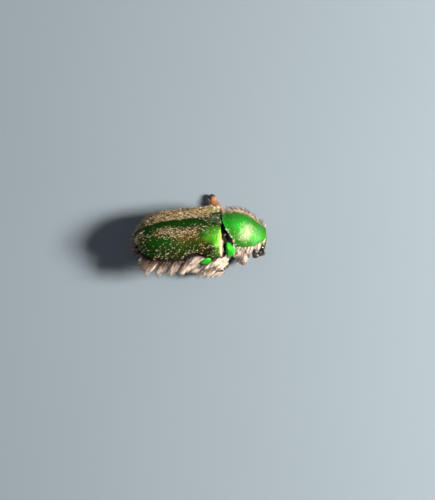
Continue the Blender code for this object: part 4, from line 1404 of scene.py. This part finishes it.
def trunk_hair(place, normal):
    """Nothing in the gap under the cases, short hair painted as shadow below it, tufts on the belly, long on
    the chest.
    """
    x, y, z = place
    side = 1 if y > 0 else -1
    below = CASE_EDGE(x) - z
    longest = sizes().flank_hair / MM
    if (below < 0.24 + 0.36 * bell(x, -3.3, 1.5) and x > -10.0) or x > 0.45:
        return 0.0, 0.5, 1.0, 0.0, normal
    # Painted shadow: the short hair just under the case edge is made nearly black.
    if below < 0.95 and x > -10.0:
        thick, pale = 1.1 if x < -0.6 else 0.4, -1.2 + 0.9 * ease(below, 0.6, 0.95)
        return thick, 0.3, 0.5, pale, Vector((-0.7, 0.0, -0.9)) + normal * 0.12
    if x < -9.9:
        return 0.8, 0.6, 0.8, 0.2, Vector((-1.0, 0.3 * y, -0.2)) + normal * 0.5
    flank = ease(abs(y), 1.2, 2.6)
    if x < BELLY_START:
        return belly_hair(place, normal, side, longest, flank)
    around = [math.hypot((x - PLATE.x - d) / 0.64, (z - PLATE.z - d) / 0.84) for d in (-0.2, 0.0, 0.3, 0.55)]
    thick = (0.6 + 0.7 * flank) * ease(min(around), 1.0, 1.2)
    neck = ease(z, -2.1, -1.6) * ease(x, -0.75, -0.35)
    brown = (1 - ease(below, 0.7, 1.2)) * (1 - ease(x, -3.4, -2.6))
    long = longest * (0.55 + 0.4 * flank) * (0.85 + 0.4 * patch_noise(place, 1.1))
    pale = 1.35 - brown + 0.4 * patch_noise(place, 1.6, 9.0)
    way = Vector((-1.0, side * (0.25 + 0.2 * flank), -0.6)) + normal * 0.1
    return thick * (1 - neck), long, 0.85, pale, way


def within(hair, low, high, side):
    """The same hair, but only from low to high along the body and, where side isn't 0, on that side."""

    def rule(place, normal):
        thick, *rest = hair(place, normal)
        inside = low <= place.x < high and (side == 0 or (place.y > 0) == (side > 0))
        return thick if inside else 0.0, *rest

    return rule


def limb_hair(leg, part):
    """The fringe of a thigh or shin, long behind it. The legs that show in the picture have their own."""
    hip, knee, ankle = joints_of(leg)
    start, end = (hip, knee) if part == "thigh" else (knee, ankle)
    total = (end - start).length
    way = (end - start).normalized()
    across = way.cross(UP).normalized()
    if across.x > 0:
        across = -across
    length = sizes().leg_hair / MM
    hairy = {"mid_right": 2.2, "fore_right": 1.0}.get(leg, 0.3)

    def rule(place, normal):
        behind = ease(normal.dot(across), 0.1, 0.9)
        above = ease(normal.z, 0.0, 0.8)
        along = (place - start).dot(way)
        if part == "thigh":
            ends = ease(along, 0.1, 0.5) * (1 - ease(along, total * 0.8, total * 0.93))
        else:
            ends = ease(along, 0.2, 0.6)
        thick = (0.1 + 0.9 * behind + hairy * above) * ends
        if normal.z < -0.75:
            thick *= 0.2
        if leg == "mid_right":
            if part == "shin":
                thick *= 1 - 0.95 * ease(along, 0.8, 1.3) * above
            return thick, length * 1.3, 0.85, 1.1, Vector((-0.8, -0.5, -0.1)) + normal * 0.3
        long = length * (0.5 + 0.75 * behind)
        lie = way * 0.9 + normal * (0.45 + 0.35 * behind)
        if leg == "mid_left":
            return thick * 0.6, long * 0.7, 0.6, -0.6, lie
        return thick, long, 0.75, 0.4 + 0.6 * behind, lie

    return rule


def head_hair(place, normal):
    """Short hair on the face, a little longer on the crown, and none round the eyes."""
    axis = (HEAD_TIP - HEAD_TOP).normalized()
    along = (place - HEAD_TOP).dot(axis)
    near_eye = min((place - eye_centre(s)).length for s in (-1, 1))
    thick = (0.7 - 0.5 * ease(along, 0.5, 1.3)) * (1 - ease(along, 1.7, 2.1)) * ease(near_eye, 0.5, 0.68)
    if normal.x < -0.3:
        thick *= 1.3
    return thick, 0.2 + 0.35 * (1 - ease(along, 0.3, 1.0)), 0.5, 0.4, axis * 0.8 + normal * 0.3


# Operators


class CHAFER_OT_shield(bpy.types.Operator):
    """Make the shield with the first joints of the front legs."""

    bl_idname = "chafer.shield"
    bl_label = "Shield"
    bl_options = {"REGISTER", "UNDO"}

    def execute(self, context):
        tints = colours()
        bm = shield_form()
        for leg in ("fore_left", "fore_right"):
            add_stump(bm, leg)
        pits = sizes().pit / MM
        # The last value is the strength of the painted glare.
        green = shell_finish("shield_green", tints.shell, tints.shell_shaded, pits, 0.66, 0.86, 0.75)
        finished("shield", bm, BODY, green, ["pronotum"])
        return {"FINISHED"}


class CHAFER_OT_cases(bpy.types.Operator):
    """Make the wing cases and the scutellum."""

    bl_idname = "chafer.cases"
    bl_label = "Wing cases"
    bl_options = {"REGISTER", "UNDO"}

    def execute(self, context):
        finish = case_finish()
        for side, word in SIDES:
            finished(f"wing_case_{word}", case_form(side), BODY, finish, [f"elytron_{word}"])
        plate = shell_finish("scutellum_green", (0.008, 0.085, 0.022), (0.004, 0.02, 0.006), 0.16, 0.55)
        finished("scutellum_plate", scutellum_form(), BODY, plate, ["scutellum"])
        return {"FINISHED"}


class CHAFER_OT_trunk(bpy.types.Operator):
    """Make the trunk's one skin and its green side plates."""

    bl_idname = "chafer.trunk"
    bl_label = "Trunk"
    bl_options = {"REGISTER", "UNDO"}

    def execute(self, context):
        nodes = ["thorax", "abdomen", "pygidium"]
        finished("trunk_skin", trunk_form(), BODY, skin_finish(), nodes)
        green = shell_finish("side_plate_green", (0.02, 0.60, 0.02), (0.015, 0.34, 0.015), 0.08)
        for side, word in SIDES:
            finished(f"side_plates_{word}", side_plates_form(side), BODY, green, [])
        return {"FINISHED"}


class CHAFER_OT_head(bpy.types.Operator):
    """Make the head with its eyes, jaw feelers and antennae."""

    bl_idname = "chafer.head"
    bl_label = "Head"
    bl_options = {"REGISTER", "UNDO"}

    def execute(self, context):
        green = shell_finish("head_green", (0.02, 0.11, 0.015), (0.01, 0.035, 0.006), 0.11, 0.4)
        finished("head_plate", head_form(), BODY, green, ["head"])
        brown = limb_finish("feeler_brown", 1.2, 1.3)
        finished("jaw_feelers", feelers_form(), BODY, brown, [])
        facets = eye_finish()
        for side, word in SIDES:
            finished(f"eye_dome_{word}", eye_form(side), BODY, facets, [f"eye_{word}"])
            club = antenna_form(side)
            finished(f"antenna_club_{word}", club, BODY, brown, [f"antenna_{word}"])
        return {"FINISHED"}


class CHAFER_OT_legs(bpy.types.Operator):
    """Make the thighs, shins and feet."""

    bl_idname = "chafer.legs"
    bl_label = "Legs"
    bl_options = {"REGISTER", "UNDO"}

    def execute(self, context):
        upper = limb_finish("thigh_brown", 0.06, 0.84)
        lower = limb_finish("shin_brown", 0.16, 0.62)
        toe = limb_finish("foot_dark", 1.2, 1.3)
        for leg in LEGS:
            finished(f"thigh_{leg}", thigh_form(leg), REST, upper, [f"femur_{leg}"])
            finished(f"shin_{leg}", shin_form(leg), REST, lower, [f"tibia_{leg}"])
            finished(f"foot_{leg}", foot_form(leg), REST, toe, [f"tarsus_{leg}"])
        return {"FINISHED"}


class CHAFER_OT_back_coat(bpy.types.Operator):
    """Grow the bristles of the wing cases and the hair of the shield."""

    bl_idname = "chafer.back_coat"
    bl_label = "Hair of the back"
    bl_options = {"REGISTER", "UNDO"}

    def execute(self, context):
        tints = colours()
        golden = hair_finish(
            "golden_hair", shade(tints.golden, 0.5), tints.golden, tints.golden_pale, contrast=0.8, vary=0.9
        )
        pale = hair_finish("pale_hair", tints.root, tints.dull, tints.pale)
        bristles = lock_set(
            "bristles", 5, 3, strands=1, spread=0.02, stray=0.1, thickness=0.046, bend=0.25, steps=2
        )
        skins = [
            combed(f"wing_case_{word}", case_hair(side), cell=cell_of(k, 4))
            for k, (side, word) in enumerate(SIDES)
        ]
        skins.append(combed("scutellum_plate", scutellum_hair, cell=cell_of(2, 4)))
        grow("coat_cases", skins, bristles, golden, 160.0, 0.6)
        fine = lock_set("fine_hair", 5, 4, strands=4, spread=0.09, stray=0.1, thickness=0.034, bend=0.16)
        skins = [combed("shield", shield_hair)]
        grow("coat_shield", skins, fine, pale, 34.0, 0.25, 10)
        skins = [combed("shield", shield_bristles)]
        grow("coat_shield_top", skins, bristles, golden, 190.0, 0.6, 15)
        return {"FINISHED"}


class CHAFER_OT_trunk_coat(bpy.types.Operator):
    """Grow the long locks of flank, belly and tail."""

    bl_idname = "chafer.trunk_coat"
    bl_label = "Hair of the trunk"
    bl_options = {"REGISTER", "UNDO"}

    def execute(self, context):
        tints = colours()
        chest = hair_finish("chest_hair", tints.root, tints.dull, shade(tints.pale, 1.16), 0.8)
        belly = hair_finish("belly_hair", tints.root, tints.dull, tints.pale, dark_share=0.14)
        tufts = lock_set("tufts", 6, 5, strands=9, spread=0.19, stray=0.06, thickness=0.026, bend=0.06)
        for step, (word, low, high, side, finish, ruffle) in enumerate((
            ("chest", BELLY_START, 9.0, 0, chest, 0.08),
            ("belly_left", -20.0, BELLY_START, 1, belly, 0.14),
            ("belly_right", -20.0, BELLY_START, -1, belly, 0.14),
        )):
            skin = combed("trunk_skin", within(trunk_hair, low, high, side))
            grow(f"coat_{word}", [skin], tufts, finish, 17.0, ruffle, 20 + step)
        return {"FINISHED"}


class CHAFER_OT_limb_coat(bpy.types.Operator):
    """Grow the fringes of the legs and the short hair of the head."""

    bl_idname = "chafer.limb_coat"
    bl_label = "Hair of legs and head"
    bl_options = {"REGISTER", "UNDO"}

    def execute(self, context):
        tints = colours()
        finish = hair_finish("leg_hair", tints.root, tints.dull, tints.pale)
        fine = lock_set("leg_locks", 5, 6, strands=4, spread=0.07, stray=0.12, thickness=0.028, bend=0.15)
        limbs = [(leg, part) for leg in LEGS for part in ("thigh", "shin")]
        skins = [
            combed(f"{part}_{leg}", limb_hair(leg, part), Matrix.Identity(3), cell_of(k, len(limbs)))
            for k, (leg, part) in enumerate(limbs)
        ]
        grow("coat_legs", skins, fine, finish, 30.0, 0.18, 30)
        bristles = lock_set(
            "head_bristles", 5, 8, strands=1, spread=0.02, stray=0.1, thickness=0.04, bend=0.2, steps=3
        )
        skins = [combed("head_plate", head_hair)]
        grow("coat_head", skins, bristles, finish, 110.0, 0.3, 40)
        return {"FINISHED"}


def aim_camera(stage):
    """Sets the camera at the angle, distance and turn that the stage's values say."""
    pixel = stage.picture / PICTURE_PIXELS
    c, s = math.cos(stage.roll), math.sin(stage.roll)
    right, up = Vector((1, 0, 0)), Vector((0, math.sin(stage.elevation), math.cos(stage.elevation)))
    back = right.cross(up)
    right, up = right * c + up * s, up * c - right * s
    target = ORIGIN - right * 5.0 * pixel - up * 18.3 * pixel
    data = bpy.data.cameras.new("camera")
    data.lens, data.sensor_width = stage.lens, SENSOR_WIDTH
    data.clip_start, data.clip_end = 0.005, 10.0
    camera = placed("camera", data)
    place = Matrix.Translation(target + back * stage.picture * stage.lens / SENSOR_WIDTH)
    camera.matrix_world = place @ Matrix((right, up, back)).transposed().to_4x4()
    bpy.context.scene.camera = camera


class CHAFER_OT_stage(bpy.types.Operator):
    """Lay the floor, set the lights and aim the camera."""

    bl_idname = "chafer.stage"
    bl_label = "Stage"
    bl_options = {"REGISTER", "UNDO"}

    def execute(self, context):
        stage = context.scene.chafer_stage
        mesh = bpy.data.meshes.new("floor")
        mesh.from_pydata([(x, y, 0.0) for x, y in ((-3, -3), (3, -3), (3, 3), (-3, 3))], [], [(0, 1, 2, 3)])
        mesh.materials.append(floor_finish())
        floor = placed("floor", mesh)
        for name, way, away, wide, power, colour in (
            ("key", (0.81, -0.09, 0.60), 0.26, 0.07, stage.key, (1.0, 0.98, 0.93)),
            ("fill", (-0.25, 0.25, 1.0), 0.34, 0.3, stage.fill, (0.9, 0.95, 1.0)),
        ):
            data = bpy.data.lights.new(name, "AREA")
            data.energy, data.size, data.color = power, wide, colour
            light = placed(name, data)
            light.location = ORIGIN + Vector(way).normalized() * away
            light.rotation_euler = (ORIGIN - light.location).to_track_quat("-Z", "Y").to_euler()
        world = bpy.data.worlds.new("pale_room")
        world.use_nodes = True
        room = world.node_tree.nodes["Background"].inputs
        room["Color"].default_value = (0.86, 0.92, 1.0, 1.0)
        room["Strength"].default_value = 0.13
        context.scene.world = world
        context.scene.view_settings.view_transform = "Standard"
        aim_camera(stage)
        return {"FINISHED"}


class CHAFER_PT_panel(bpy.types.Panel):
    """The chafer's pieces, sizes and colours."""

    bl_idname = "CHAFER_PT_panel"
    bl_label = "Green flower chafer"
    bl_space_type = "VIEW_3D"
    bl_region_type = "UI"
    bl_category = "Chafer"

    def draw(self, context):
        """Shows a button for each operator, then the values that can be changed."""
        for operator in OPERATORS:
            self.layout.operator(operator.bl_idname)
        for group in (context.scene.chafer_sizes, context.scene.chafer_colours, context.scene.chafer_stage):
            box = self.layout.box()
            for name in group.bl_rna.properties.keys():
                if name not in ("rna_type", "name"):
                    box.prop(group, name)


OPERATORS = (
    CHAFER_OT_stage, CHAFER_OT_shield, CHAFER_OT_cases, CHAFER_OT_trunk, CHAFER_OT_head, CHAFER_OT_legs,
    CHAFER_OT_back_coat, CHAFER_OT_trunk_coat, CHAFER_OT_limb_coat,
)
CLASSES = (ChaferSizes, ChaferColours, ChaferStage, *OPERATORS, CHAFER_PT_panel)


def register():
    """Makes the operators, the panel and their values known."""
    for item in CLASSES:
        bpy.utils.register_class(item)
    bpy.types.Scene.chafer_sizes = PointerProperty(type=ChaferSizes)
    bpy.types.Scene.chafer_colours = PointerProperty(type=ChaferColours)
    bpy.types.Scene.chafer_stage = PointerProperty(type=ChaferStage)


def unregister():
    """Takes back all that register did."""
    del bpy.types.Scene.chafer_sizes, bpy.types.Scene.chafer_colours, bpy.types.Scene.chafer_stage
    for item in reversed(CLASSES):
        bpy.utils.unregister_class(item)


def main():
    """Makes every piece and the stage."""
    register()
    for operator in OPERATORS:
        group, name = operator.bl_idname.split(".")
        getattr(getattr(bpy.ops, group), name)()


if __name__ == "__main__":
    main()
